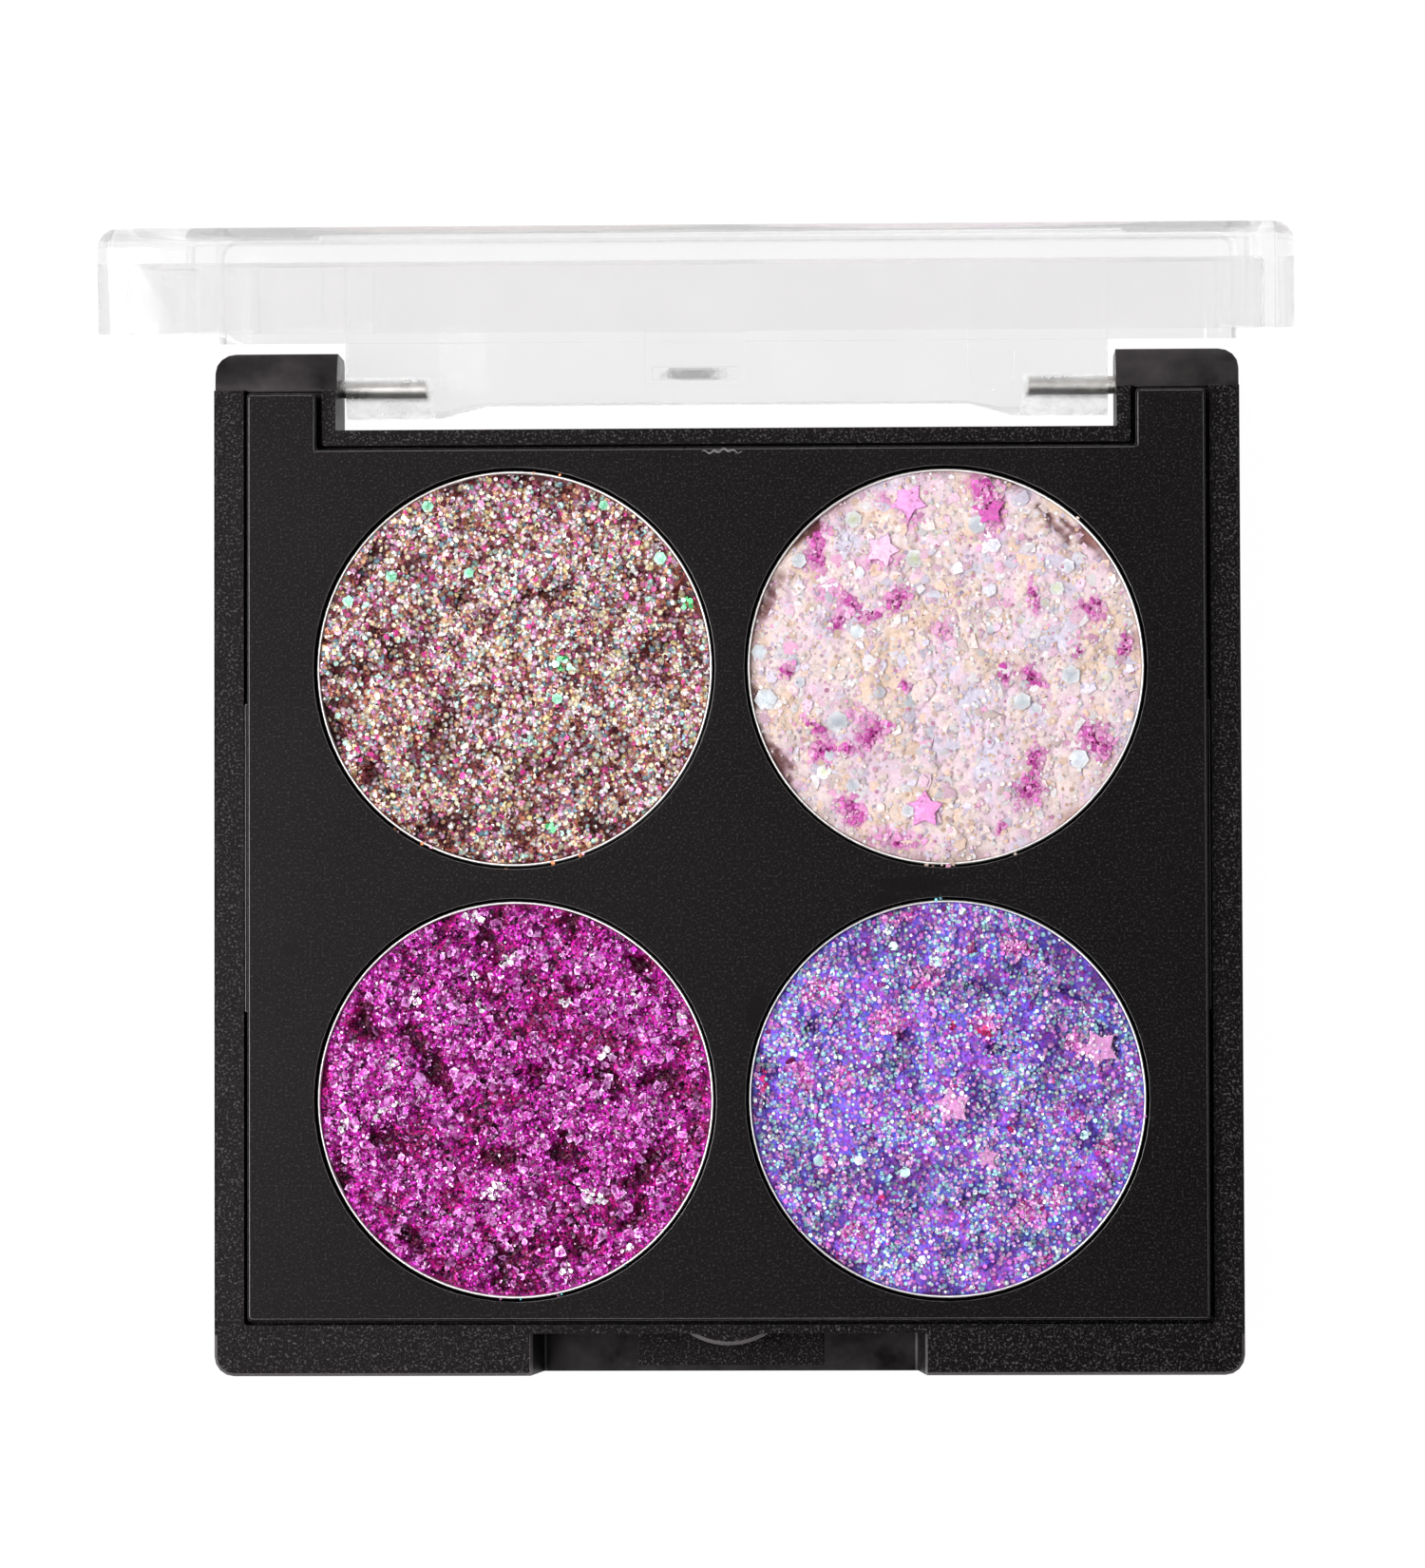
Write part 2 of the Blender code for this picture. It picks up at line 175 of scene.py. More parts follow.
class Noise:
    """Smooth random hills over the plane, between 0 and 1, repeatable from its seed."""

    def __init__(self, seed, cell, span=64):
        self.grid = np.random.default_rng(seed).random((span, span))
        self.cell = cell
        self.span = span

    def __call__(self, x, y):
        u = np.asarray(x) / self.cell + self.span / 2
        v = np.asarray(y) / self.cell + self.span / 2
        i = np.floor(u).astype(int)
        j = np.floor(v).astype(int)
        fu = u - i
        fv = v - j
        fu = fu * fu * (3 - 2 * fu)
        fv = fv * fv * (3 - 2 * fv)

        def at(a, b):
            return self.grid[a % self.span, b % self.span]

        low = at(i, j) * (1 - fu) + at(i + 1, j) * fu
        high = at(i, j + 1) * (1 - fu) + at(i + 1, j + 1) * fu
        return low * (1 - fv) + high * fv


class Graph:
    """A Principled material and short ways of adding nodes to it."""

    def __init__(self, name):
        self.material = bpy.data.materials.new(name)
        self.material.use_nodes = True
        self.tree = self.material.node_tree
        self.shader = self.tree.nodes["Principled BSDF"]
        self.place = self.add("TexCoord").outputs["Object"]

    def add(self, kind, **settings):
        node = self.tree.nodes.new("ShaderNode" + kind)
        for key, value in settings.items():
            setattr(node, key, value)
        return node

    def feed(self, socket, value):
        """Links an output to the socket, or sets a plain value on it."""
        if isinstance(value, bpy.types.NodeSocket):
            self.tree.links.new(value, socket)
        elif isinstance(value, tuple) and len(value) == 3 and len(socket.default_value) == 4:
            socket.default_value = (*value, 1.0)
        else:
            socket.default_value = value

    def set(self, **values):
        """Principled inputs by name, with _ for a space."""
        for key, value in values.items():
            self.feed(self.shader.inputs[key.replace("_", " ")], value)

    def noise(self, size_mm, detail=2.0, roughness=0.5):
        node = self.add("TexNoise")
        self.feed(node.inputs["Vector"], self.place)
        node.inputs["Scale"].default_value = 1 / (size_mm * MM)
        node.inputs["Detail"].default_value = detail
        node.inputs["Roughness"].default_value = roughness
        return node.outputs["Fac"]

    def cells(self, size_mm):
        """A random colour in every cell."""
        node = self.add("TexVoronoi")
        self.feed(node.inputs["Vector"], self.place)
        node.inputs["Scale"].default_value = 1 / (size_mm * MM)
        return node.outputs["Color"]

    def coordinates(self):
        """The x, y and z of the object's own space, in metres."""
        node = self.add("SeparateXYZ")
        self.feed(node.inputs[0], self.place)
        return node.outputs[0], node.outputs[1], node.outputs[2]

    def ramp(self, fac, stops, interpolation="LINEAR"):
        """Colours or greys at positions along a factor."""
        node = self.add("ValToRGB")
        node.color_ramp.interpolation = interpolation
        elements = node.color_ramp.elements
        while len(elements) < len(stops):
            elements.new(0.5)
        for element, (position, colour) in zip(elements, stops):
            element.position = position
            shade = colour if isinstance(colour, tuple) else (colour,) * 3
            element.color = (*shade, 1.0)
        self.feed(node.inputs["Fac"], fac)
        return node.outputs["Color"]

    def graded(self, noise, low, high):
        """A value that goes from low to high over the middle of a noise."""
        return self.ramp(noise, [(0.3, low), (0.7, high)])

    def mix(self, fac, a, b, blend="MIX"):
        node = self.add("Mix", data_type="RGBA", blend_type=blend)
        self.feed(node.inputs[0], fac)
        self.feed(node.inputs[6], a)
        self.feed(node.inputs[7], b)
        return node.outputs[2]

    def math(self, operation, a, b=0.0):
        node = self.add("Math", operation=operation)
        self.feed(node.inputs[0], a)
        self.feed(node.inputs[1], b)
        return node.outputs[0]

    def times(self, a, b):
        return self.math("MULTIPLY", a, b)

    def above(self, value, limit):
        return self.math("GREATER_THAN", value, limit)

    def below(self, value, limit):
        return self.math("LESS_THAN", value, limit)

    def bump(self, height, depth_mm, strength=1.0):
        node = self.add("Bump")
        node.inputs["Distance"].default_value = depth_mm * MM
        node.inputs["Strength"].default_value = strength
        self.feed(node.inputs["Height"], height)
        return node.outputs["Normal"]

    def facets(self, cell_colour, tilt):
        """The surface normal leaned a different way in every cell, as loose flakes lie."""
        centred = self.add("VectorMath", operation="SUBTRACT")
        self.feed(centred.inputs[0], cell_colour)
        centred.inputs[1].default_value = (0.5, 0.5, 0.5)
        scaled = self.add("VectorMath", operation="SCALE")
        self.feed(scaled.inputs[0], centred.outputs[0])
        scaled.inputs["Scale"].default_value = tilt
        total = self.add("VectorMath", operation="ADD")
        self.feed(total.inputs[0], scaled.outputs[0])
        self.feed(total.inputs[1], self.add("NewGeometry").outputs["Normal"])
        unit = self.add("VectorMath", operation="NORMALIZE")
        self.feed(unit.inputs[0], total.outputs[0])
        return unit.outputs[0]


def make_piece(name, points, faces, material, body="base", smooth=False, tints=None):
    """A mesh from points in millimetres, riding on a body of the frame."""
    mesh = bpy.data.meshes.new(name)
    mesh.from_pydata((np.asarray(points) * MM).tolist(), [], faces)
    mesh.materials.append(material)
    mesh.polygons.foreach_set("use_smooth", [smooth] * len(mesh.polygons))
    if tints is not None:
        layer = mesh.color_attributes.new("tint", "FLOAT_COLOR", "POINT")
        rgba = np.ones((len(points), 4))
        rgba[:, :3] = tints
        layer.data.foreach_set("color", rgba.ravel())
    mesh.update()
    obj = bpy.data.objects.new(name, mesh)
    bpy.context.scene.collection.objects.link(obj)
    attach(obj, body)
    return obj


# ---------------------------------------------------------------- materials


def black_plastic(name, grain_mm, grain_pale, dark, rough, dents):
    """Moulded black plastic: fine spark-eroded grain over broad, faint handling marks."""
    g = Graph(name)
    fine = g.noise(grain_mm, 2.0, 0.7)
    broad = g.noise(9.0, 3.0, 0.6)
    ground = g.mix(broad, (dark, dark * 0.9, dark * 0.92), (dark * 1.7, dark * 1.55, dark * 1.6))
    pale = (grain_pale, grain_pale * 0.92, grain_pale * 0.93)
    g.set(
        Base_Color=g.mix(g.ramp(fine, [(0.54, 0.0), (0.72, 1.0)]), ground, pale),
        Roughness=g.graded(g.mix(0.5, fine, broad), rough - 0.07, rough + 0.07),
        Normal=g.bump(fine, dents, 0.8),
        Specular_IOR_Level=BLACK_SHINE,
        Specular_Tint=WARM,
    )
    return g


def case_plastic():
    """The case: grainy along the rims, smoother and shinier on the ears and beside the thumb grip."""
    g = black_plastic("case_black_moulded", 0.17, 0.060, 0.0008, 0.40, 0.04)
    x, y, z = g.coordinates()
    grip_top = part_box("base_case")[0].z + GRIP_HEIGHT * MM
    back = g.above(y, EAR_LINE * MM)
    front = g.below(y, GRIP_LINE * MM)
    smooth = g.math("MAXIMUM", back, g.times(g.below(z, grip_top), front))
    marks = g.noise(3.5, 4.0, 0.65)
    # Painted highlight: pale lines down the notch's ends, broken up by the marks noise.
    notch_highlight = g.times(g.times(notch_highlight_lines(g, x), front), g.ramp(marks, [(0.3, 0.2), (0.6, 0.8)]))
    plain = g.shader.inputs["Base Color"].links[0].from_socket
    rough = g.shader.inputs["Roughness"].links[0].from_socket
    # Painted highlight: at the front, surfaces that are neither flat nor upright, as round the catch's lens,
    # are painted paler.
    grainy = g.mix(g.times(g.times(slopes(g), front), 0.22), plain, (0.30, 0.27, 0.28))
    # On the ears and beside the grip the colour is mottled by the marks noise, partly as scratches and
    # partly as painted highlights.
    dark, light = (0.003, 0.0027, 0.0027), (0.024, 0.0215, 0.022)
    even = g.mix(g.ramp(marks, [(0.34, 0.0), (0.68, 1.0)]), dark, light)
    grain = g.times(g.noise(0.1, 2.0, 0.7), g.math("SUBTRACT", 1.0, smooth))
    g.set(
        Base_Color=g.mix(notch_highlight, g.mix(smooth, grainy, even), (0.14, 0.13, 0.13)),
        Roughness=g.mix(smooth, rough, g.graded(marks, 0.26, 0.40)),
        Normal=g.bump(grain, 0.02, 0.8),
        Specular_IOR_Level=g.math("ADD", BLACK_SHINE, g.times(back, EAR_SHINE - BLACK_SHINE)),
    )
    return g.material


def notch_highlight_lines(g, x):
    """Painted highlight lines down both ends of the thumb notch, where light catches the edges of its walls.
    """
    sideways = g.math("ABSOLUTE", x)
    lines = 0.0
    for edge in NOTCH_EDGES:
        off = g.math("ABSOLUTE", g.math("SUBTRACT", sideways, edge * MM))
        lines = g.math("MAXIMUM", lines, g.below(off, NOTCH_LINE * MM))
    return lines


def slopes(g):
    """Where the surface is neither flat nor upright, as round the catch's lens."""
    lean = g.add("SeparateXYZ")
    g.feed(lean.inputs[0], g.add("NewGeometry").outputs["Normal"])
    level = g.math("ABSOLUTE", lean.outputs["Z"])
    return g.times(g.below(level, 0.9), g.above(level, 0.2))


def tray_plastic():
    """The tray: even matte black, darker in a few ragged patches beside the pans."""
    g = black_plastic("tray_black_matte", 0.16, 0.024, 0.0010, 0.42, 0.015)
    ragged = g.times(g.noise(1.2, 3.0, 0.6), 0.4)
    patch_darkening = 0.0
    for x, y, half_x, half_y in DARK_PATCHES:
        apart = g.add("VectorMath", operation="SUBTRACT")
        g.feed(apart.inputs[0], g.place)
        apart.inputs[1].default_value = (x * MM, y * MM, 0.0)
        wide = g.add("VectorMath", operation="MULTIPLY")
        g.feed(wide.inputs[0], apart.outputs[0])
        wide.inputs[1].default_value = (1 / (half_x * MM), 1 / (half_y * MM), 0.0)
        far = g.add("VectorMath", operation="LENGTH")
        g.feed(far.inputs[0], wide.outputs[0])
        reach = g.math("ADD", g.times(far.outputs["Value"], 0.5), ragged)
        patch_darkening = g.math("MAXIMUM", patch_darkening, g.ramp(reach, [(0.52, 1.0), (0.66, 0.0)]))
    even = g.shader.inputs["Base Color"].links[0].from_socket
    g.set(Base_Color=g.mix(g.times(patch_darkening, 0.85), even, (0.0012, 0.001, 0.001)))
    return g.material


def edge_plastic(name, pale):
    """The worn, rounded edge of a moulding: its pale colour is a painted highlight for the light that it
    catches, broken up by the same noise that varies its roughness.
    """
    g = Graph(name)
    wear_and_highlight = g.noise(0.5, 4.0, 0.7)
    # Painted highlight in the base colour, patchy along the edge.
    g.set(
        Base_Color=g.mix(wear_and_highlight, (0.010, 0.009, 0.009), (pale, pale * 0.95, pale * 0.95)),
        Roughness=g.graded(wear_and_highlight, 0.22, 0.42),
        Specular_IOR_Level=0.7,
    )
    return g.material


def pan_metal():
    """Pressed aluminium with faint drawing streaks and small dents."""
    g = Graph("pan_aluminium_pressed")
    streaks = g.noise(0.35, 4.0, 0.7)
    g.set(
        Base_Color=g.mix(streaks, (0.80, 0.78, 0.76), (0.96, 0.95, 0.94)),
        Metallic=0.75,
        Roughness=g.graded(streaks, 0.25, 0.45),
        Normal=g.bump(streaks, 0.01, 0.6),
    )
    return g.material


def pin_metal():
    """Drawn steel wire."""
    g = Graph("pin_steel_drawn")
    lines = g.noise(0.12, 3.0, 0.7)
    g.set(
        Base_Color=g.mix(lines, (0.30, 0.29, 0.28), (0.62, 0.60, 0.58)),
        Metallic=1.0,
        Roughness=g.graded(lines, 0.2, 0.4),
        Normal=g.bump(lines, 0.006, 0.6),
    )
    return g.material


def clear_plastic():
    """Polished clear styrene with the faint milkiness and waviness of a moulding. Lamps shine through it."""
    g = Graph("lid_clear_styrene")
    wave = g.noise(6.0, 2.0)
    scuff = g.noise(1.3, 4.0, 0.7)
    milky = knuckles(g)
    cloudy = g.ramp(scuff, [(0.4, 0.55), (0.6, 0.85)])
    polished = g.ramp(scuff, [(0.35, 0.02), (0.75, 0.08)])
    moulded = g.graded(scuff, 0.2, 0.5)
    g.set(
        Base_Color=g.mix(milky, lid_tint(g, wave), cloudy),
        Roughness=g.mix(milky, polished, moulded),
        IOR=1.35,
        Transmission_Weight=1.0,
        Alpha=0.62,
        Normal=g.bump(wave, 0.03, 0.5),
    )
    through = g.add("BsdfTransparent")
    through.inputs["Color"].default_value = (1.0, 1.0, 1.0, 1.0)
    choose = g.add("MixShader")
    g.feed(choose.inputs[0], g.add("LightPath").outputs["Is Shadow Ray"])
    g.feed(choose.inputs[1], g.shader.outputs[0])
    g.feed(choose.inputs[2], through.outputs[0])
    g.feed(g.tree.nodes["Material Output"].inputs["Surface"], choose.outputs[0])
    return g.material


def knuckles(g):
    """Where the lid's knuckles are, round the hinge pins."""
    x, y, z = g.coordinates()
    low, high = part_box("hinge_pin_left")
    axis = (low + high) / 2
    off_y = g.math("SUBTRACT", y, axis.y)
    off_z = g.math("SUBTRACT", z, axis.z)
    away = g.math("SQRT", g.math("ADD", g.times(off_y, off_y), g.times(off_z, off_z)))
    outward = g.above(g.math("ABSOLUTE", x), KNUCKLE_FROM * MM)
    return g.times(outward, g.below(away, KNUCKLE_R * MM))


def lid_tint(g, wave):
    """The clear plastic's tint: greyer with painted shade at the ends and by the hinge, and darkened by a
    painted shadow along the tab's bead.
    """
    x, y, z = g.coordinates()
    low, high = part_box("lid")
    sideways = g.math("ABSOLUTE", x)
    # Painted shade: the end walls and the hinge side are tinted greyer.
    at_end = g.above(sideways, high.x - END_WALL * MM)
    near_hinge = g.below(z, HINGE_SIDE_Z * MM)
    in_tab = g.below(y, low.y + TAB_REACH * MM)
    tint = g.mix(wave, (0.875, 0.865, 0.872), (0.94, 0.93, 0.937))
    tint = g.mix(at_end, tint, g.mix(wave, (0.74, 0.73, 0.74), (0.87, 0.86, 0.87)))
    tint = g.mix(near_hinge, tint, g.mix(wave, (0.67, 0.66, 0.67), (0.76, 0.75, 0.76)))
    tint = g.mix(in_tab, tint, (0.99, 0.99, 0.99))
    # Painted shadow: a dark, frayed band along the bead of the snap tab.
    past_tip = g.above(y, low.y + BEAD_Y[0] * MM)
    before_root = g.below(y, low.y + BEAD_Y[1] * MM)
    outwards = g.times(g.math("DIVIDE", sideways, BEAD_HALF_W * MM), 0.5)
    ragged = g.math("ADD", outwards, g.noise(0.7, 3.0, 0.6))
    frayed = g.ramp(ragged, [(0.72, 1.0), (0.98, 0.0)])
    bead = g.times(g.times(past_tip, before_root), frayed)
    return g.mix(bead, tint, (0.28, 0.28, 0.28))


def glue_resin():
    g = Graph("pan_glue_cured")
    cloud = g.noise(1.5, 3.0)
    g.set(
        Base_Color=g.mix(cloud, (0.62, 0.55, 0.36), (0.80, 0.74, 0.55)),
        Roughness=g.graded(cloud, 0.3, 0.5),
        Normal=g.bump(cloud, 0.05, 0.5),
    )
    return g.material


def foil(name, cell_mm, glints, palette=None, metallic=0.35, roughness=0.35, tilt=0.4):
    """Glitter: the mesh's own colour, broken into small cells of differing light, hue and lean.

    glints is [(position, factor)] over the cells, dark ones first. A factor below 1 is painted shade, and
    one above 1 is a painted glint that pales towards white.
    palette is [(position, #hex)], the colours that the cells are picked from before the mesh's own.
    """
    g = Graph(name)
    tint = g.add("VertexColor", layer_name="tint").outputs["Color"]
    cell = g.cells(cell_mm)
    apart = g.add("SeparateColor")
    g.feed(apart.inputs[0], cell)
    # Painted glints and painted shade: each cell's light is set into its colour.
    shade = g.ramp(apart.outputs[0], [(p, min(f, 1.0)) for p, f in glints])
    pale = g.ramp(apart.outputs[0], [(p, max(f - 1.0, 0.0)) for p, f in glints])
    if palette:
        hue = g.ramp(apart.outputs[1], [(p, srgb(c)) for p, c in palette], "CONSTANT")
        ground = g.mix(1.0, tint, hue, "MULTIPLY")
    else:
        ground = tint
    lit = g.mix(1.0, ground, shade, "MULTIPLY")
    g.set(
        Base_Color=g.mix(1.0, lit, g.mix(1.0, tint, pale, "MULTIPLY"), "ADD"),
        Metallic=metallic,
        Roughness=roughness,
        Specular_IOR_Level=0.25,
        Normal=g.facets(cell, tilt),
    )
    return g.material


# ---------------------------------------------------------------- pans, cakes and flakes


def revolve(section, centre, segments):
    """Points and faces of a closed ring turned from (radius, z) round an upright axis."""
    angles = np.linspace(0, 2 * math.pi, segments, endpoint=False)
    points = []
    for radius, z in section:
        x = centre[0] + radius * np.cos(angles)
        y = centre[1] + radius * np.sin(angles)
        points.append(np.stack([x, y, np.full(segments, z)], 1))
    faces = []
    count = len(section)
    for ring in range(count):
        a = ring * segments
        b = (ring + 1) % count * segments
        for i in range(segments):
            j = (i + 1) % segments
            faces.append((a + i, a + j, b + j, b + i))
    return np.concatenate(points), faces


def make_pan(corner, material):
    """A drawn cup with a thin wall, a rolled rim and a flat floor."""
    low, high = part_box(f"pan_{corner}")
    centre = ((low + high) / 2 / MM)[:2]
    radius = (high.x - low.x) / 2 / MM
    bottom, top = low.z / MM, high.z / MM
    inner = radius - PAN_WALL
    section = [
        (PAN_MIDDLE_R, bottom),
        (radius - 0.5, bottom),
        (radius - 0.15, bottom + 0.12),
        (radius, bottom + 0.45),
        (radius, top - 0.10),
        (radius - 0.03, top - 0.03),
        (radius - 0.10, top),
        (inner + 0.03, top - 0.03),
        (inner, top - 0.10),
        (inner, bottom + 0.5),
        (inner - 0.3, bottom + PAN_FLOOR),
        (PAN_MIDDLE_R, bottom + PAN_FLOOR),
    ]
    points, faces = revolve(section, centre, PAN_SEGMENTS)
    start = len(points)
    ends = [(*centre, bottom), (*centre, bottom + PAN_FLOOR)]
    points = np.concatenate([points, ends])
    last = (len(section) - 1) * PAN_SEGMENTS
    faces = faces[: -PAN_SEGMENTS]
    for i in range(PAN_SEGMENTS):
        j = (i + 1) % PAN_SEGMENTS
        faces.append((j, i, start))
        faces.append((last + i, last + j, start + 1))
    obj = make_piece(f"cup_{corner}", points, faces, material, smooth=True)
    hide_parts(f"pan_{corner}")


class Cake:
    """One pressed cake: where it is, how its surface rolls, and the flakes on it.

    A stroke is (x, y, half length, half width, degrees) in millimetres from the cake's centre.
    lift is the surface's height over the pan's rim, depth how far it rolls, and sizes_mm the width of its
    lumps, clumps and gaps. hollows are the strokes that dip and take painted shade, and dusk is the colour
    of the painted shade.
    gain is how bright the cake is, and contrast how much its flakes differ.
    """

    def __init__(self, corner, seed, lift, depth, sizes_mm, hollows, dusk, slot, gain=1.0, contrast=0.4):
        self.corner = corner
        self.gain = gain
        self.contrast = contrast
        lump_mm, clump_mm, vein_mm = sizes_mm
        self.slot = slot
        self.node = f"shadow_{corner}"
        low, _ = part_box(self.node)
        pan_low, pan_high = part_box(f"pan_{corner}")
        self.x, self.y, _ = (pan_low + pan_high) / 2 / MM
        self.radius = (pan_high.x - pan_low.x) / 2 / MM - PAN_WALL - CAKE_GAP
        self.floor = low.z / MM + CAKE_FLOOR_LIFT
        self.level = pan_high.z / MM + lift
        self.depth = depth
        self.rng = np.random.default_rng(seed)
        self.lumps = Noise(seed + 1, lump_mm)
        self.clumps = Noise(seed + 2, clump_mm)
        self.grit = Noise(seed + 3, 0.3, 128)
        self.veins = Noise(seed + 4, vein_mm)
        self.bends = Noise(seed + 5, 0.8)
        self.hollows = hollows
        self.dusk = np.asarray(srgb(dusk))

    def inside(self, strokes, x, y, sharp=6.0, rough=1.1):
        """How far inside a set of ragged strokes a point is, from 0 to 1."""
        deep = np.zeros_like(np.asarray(x, float))
        ragged = rough * (self.clumps(x, y) + self.grit(x, y) - 1.0)
        for sx, sy, length, width, turn in strokes:
            along = math.cos(math.radians(turn)), math.sin(math.radians(turn))
            u = (x - sx) * along[0] + (y - sy) * along[1]
            v = (y - sy) * along[0] - (x - sx) * along[1]
            away = np.hypot(u / length, v / width) + ragged
            deep = np.maximum(deep, 1 / (1 + np.exp(sharp * (away - 1))))
        return deep

    def crevice(self, x, y):
        """The thin winding gaps between clumps, from 0 to 1."""
        gap = np.abs(self.veins(x, y) + GAP_BEND * self.bends(x, y) - GAP_LEVEL) / GAP_WIDTH
        return np.exp(-(gap**2))

    def height(self, x, y):
        """The surface over a point measured from the cake's centre."""
        noises = (self.lumps, self.clumps, self.grit)
        roll = sum(share * noise(x, y) for share, noise in zip(ROLL_SHARES, noises))
        edge = np.clip((self.radius - np.hypot(x, y)) / WALL_WIDTH, 0.0, 1.0)
        dip = HOLLOW_DIP * self.inside(self.hollows, x, y) + GAP_DIP * self.crevice(x, y)
        return self.level + self.depth * (roll - ROLL_LEVEL - dip) - WALL_DROP * (1 - edge) ** 2

    def tone(self, x, y, floor=0.35):
        """The painted light at a point: 1 on a clump, less between clumps and in a hollow, as painted shade.
        """
        roll = 0.5 * self.lumps(x, y) + 0.5 * self.clumps(x, y)
        open_part = floor + (1 - floor) * np.clip((roll - TONE_FROM) / TONE_RISE, 0, 1)
        shut = 1 - HOLLOW_SHADE * self.inside(self.hollows, x, y)
        return open_part * shut * (1 - GAP_SHADE * self.crevice(x, y))

    def shaded(self, colours, x, y, amount):
        """The colours with painted shade, pulled towards the cake's dusk colour where its painted light is
        low.
        """
        dark = amount * (1 - self.tone(x, y, 0.2))[:, None]
        return colours * (1 - dark * (1 - self.dusk))

    def body_mesh(self, material, paint):
        """The cake itself, a closed disc whose top follows the height. paint gives its colour at x, y."""
        angles = np.linspace(0, 2 * math.pi, CAKE_SEGMENTS, endpoint=False)
        radii = self.radius * np.linspace(1.0, 1 / CAKE_RINGS, CAKE_RINGS)
        px = np.outer(radii, np.cos(angles))
        py = np.outer(radii, np.sin(angles))
        pz = self.height(px, py)
        rim_x = self.radius * np.cos(angles)
        rim_y = self.radius * np.sin(angles)
        bottom = np.stack([rim_x, rim_y, np.full_like(rim_x, self.floor)], 1)
        top = np.stack([px.ravel(), py.ravel(), pz.ravel()], 1)
        middle = np.array([[0.0, 0.0, float(self.height(0.0, 0.0))], [0.0, 0.0, self.floor]])
        points = np.concatenate([bottom, top, middle])
        tints = self.gain * paint(points[:, 0], points[:, 1])
        points = points + (self.x, self.y, 0.0)
        count = CAKE_SEGMENTS
        faces = []
        for ring in range(CAKE_RINGS):
            a = ring * count
            for i in range(count):
                j = (i + 1) % count
                faces.append((a + i, a + j, a + count + j, a + count + i))
        last = CAKE_RINGS * count
        centre = len(points) - 2
        for i in range(count):
            j = (i + 1) % count
            faces.append((last + i, last + j, centre))
            faces.append((j, i, centre + 1))
        name = f"cake_{self.corner}"
        tints = np.clip(tints, 0, 1)
        obj = make_piece(name, points, faces, material, smooth=True, tints=tints)
        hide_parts(self.node)

    def spread(self, count, margin=0.05):
        """Random points over the cake."""
        radius = (self.radius - margin) * np.sqrt(self.rng.random(count))
        angle = 2 * math.pi * self.rng.random(count)
        return np.stack([radius * np.cos(angle), radius * np.sin(angle)], 1)

    def keep(self, points, chance):
        """The points that a chance between 0 and 1, one for each, lets through."""
        return points[self.rng.random(len(points)) < chance]

    def spread_by_tone(self, count, least, margin=0.05):
        """Random points over the cake, fewer where it is dark."""
        points = self.spread(count, margin)
        return self.keep(points, least + (1 - least) * self.tone(*points.T))

    def spread_outside(self, strokes, count, margin=0.05):
        """Random points over the cake, with few inside the strokes."""
        points = self.spread(count, margin)
        return self.keep(points, 1 - 0.9 * self.inside(strokes, *points.T))

    def within(self, strokes, per_mm2):
        """Random points inside a set of strokes."""
        lots = []
        for sx, sy, length, width, turn in strokes:
            count = max(1, int(per_mm2 * math.pi * length * width))
            reach = np.sqrt(self.rng.random(count)) * (0.75 + 0.4 * self.rng.random(count))
            angle = 2 * math.pi * self.rng.random(count)
            u = reach * length * np.cos(angle)
            v = reach * width * np.sin(angle)
            c, s = math.cos(math.radians(turn)), math.sin(math.radians(turn))
            lots.append(np.stack([sx + u * c - v * s, sy + u * s + v * c], 1))
        points = np.concatenate(lots)
        return points[np.hypot(*points.T) < self.radius - 0.15]

    def scatter(
        self, name, points, size, colours, material,
        tilt=20.0, lift=0.03, rim=None, ragged=0.0, shade=0.0, rest_on=None,
    ):
        """Flakes lying at the points, on the cake or at the height rest_on.

        size is (smallest, largest) radius and colours is [(weight, #hex)]. rim is the colour of their
        outline, or a factor on their own colour. ragged is how uneven their outline is, and shade how much
        the cake's painted shade darkens them.
        """
        count, sides, rng = len(points), FLAKE_SIDES, self.rng
        radius = size[0] + (size[1] - size[0]) * rng.random(count) ** 1.5
        spin = 2 * math.pi * rng.random(count)
        lean = np.radians(np.clip(tilt * rng.normal(0, 0.6, (count, 2)), -STEEPEST, STEEPEST))
        weights = np.array([w for w, _ in colours], float)
        palette = np.array([srgb(c) for _, c in colours])
        pick = rng.choice(len(colours), count, p=weights / weights.sum())
        colour = palette[pick] * self.gain * (1.15 - self.contrast * rng.random((count, 1)))
        colour = self.shaded(colour, *points.T, shade)
        arm = (np.arange(sides) * 2 * math.pi / sides)[None, :] + spin[:, None]
        to_wall = self.radius - 0.01 - np.hypot(*points.T)
        hold = np.clip(to_wall / radius, 0.3, 1.0) if rest_on is None else np.ones(count)
        reach = (radius * hold)[:, None] * (1 - ragged * rng.random((count, sides)))
        dx = reach * np.cos(arm)
        dy = reach * np.sin(arm)
        dz = dx * np.tan(lean[:, :1]) + dy * np.tan(lean[:, 1:])
        base = self.height(*points.T) + 0.05 * rng.random(count)
        if rest_on is not None:
            base = np.full(count, rest_on)
        base = base + lift
        total = sides + 2
        out = np.zeros((count, total, 3))
        out[:, :sides, 0] = points[:, :1] + dx
        out[:, :sides, 1] = points[:, 1:] + dy
        out[:, :sides, 2] = base[:, None] + dz
        out[:, sides] = np.stack([points[:, 0], points[:, 1], base + 0.02 * radius], 1)
        out[:, sides + 1] = np.stack([points[:, 0], points[:, 1], base - 0.25 * radius], 1)
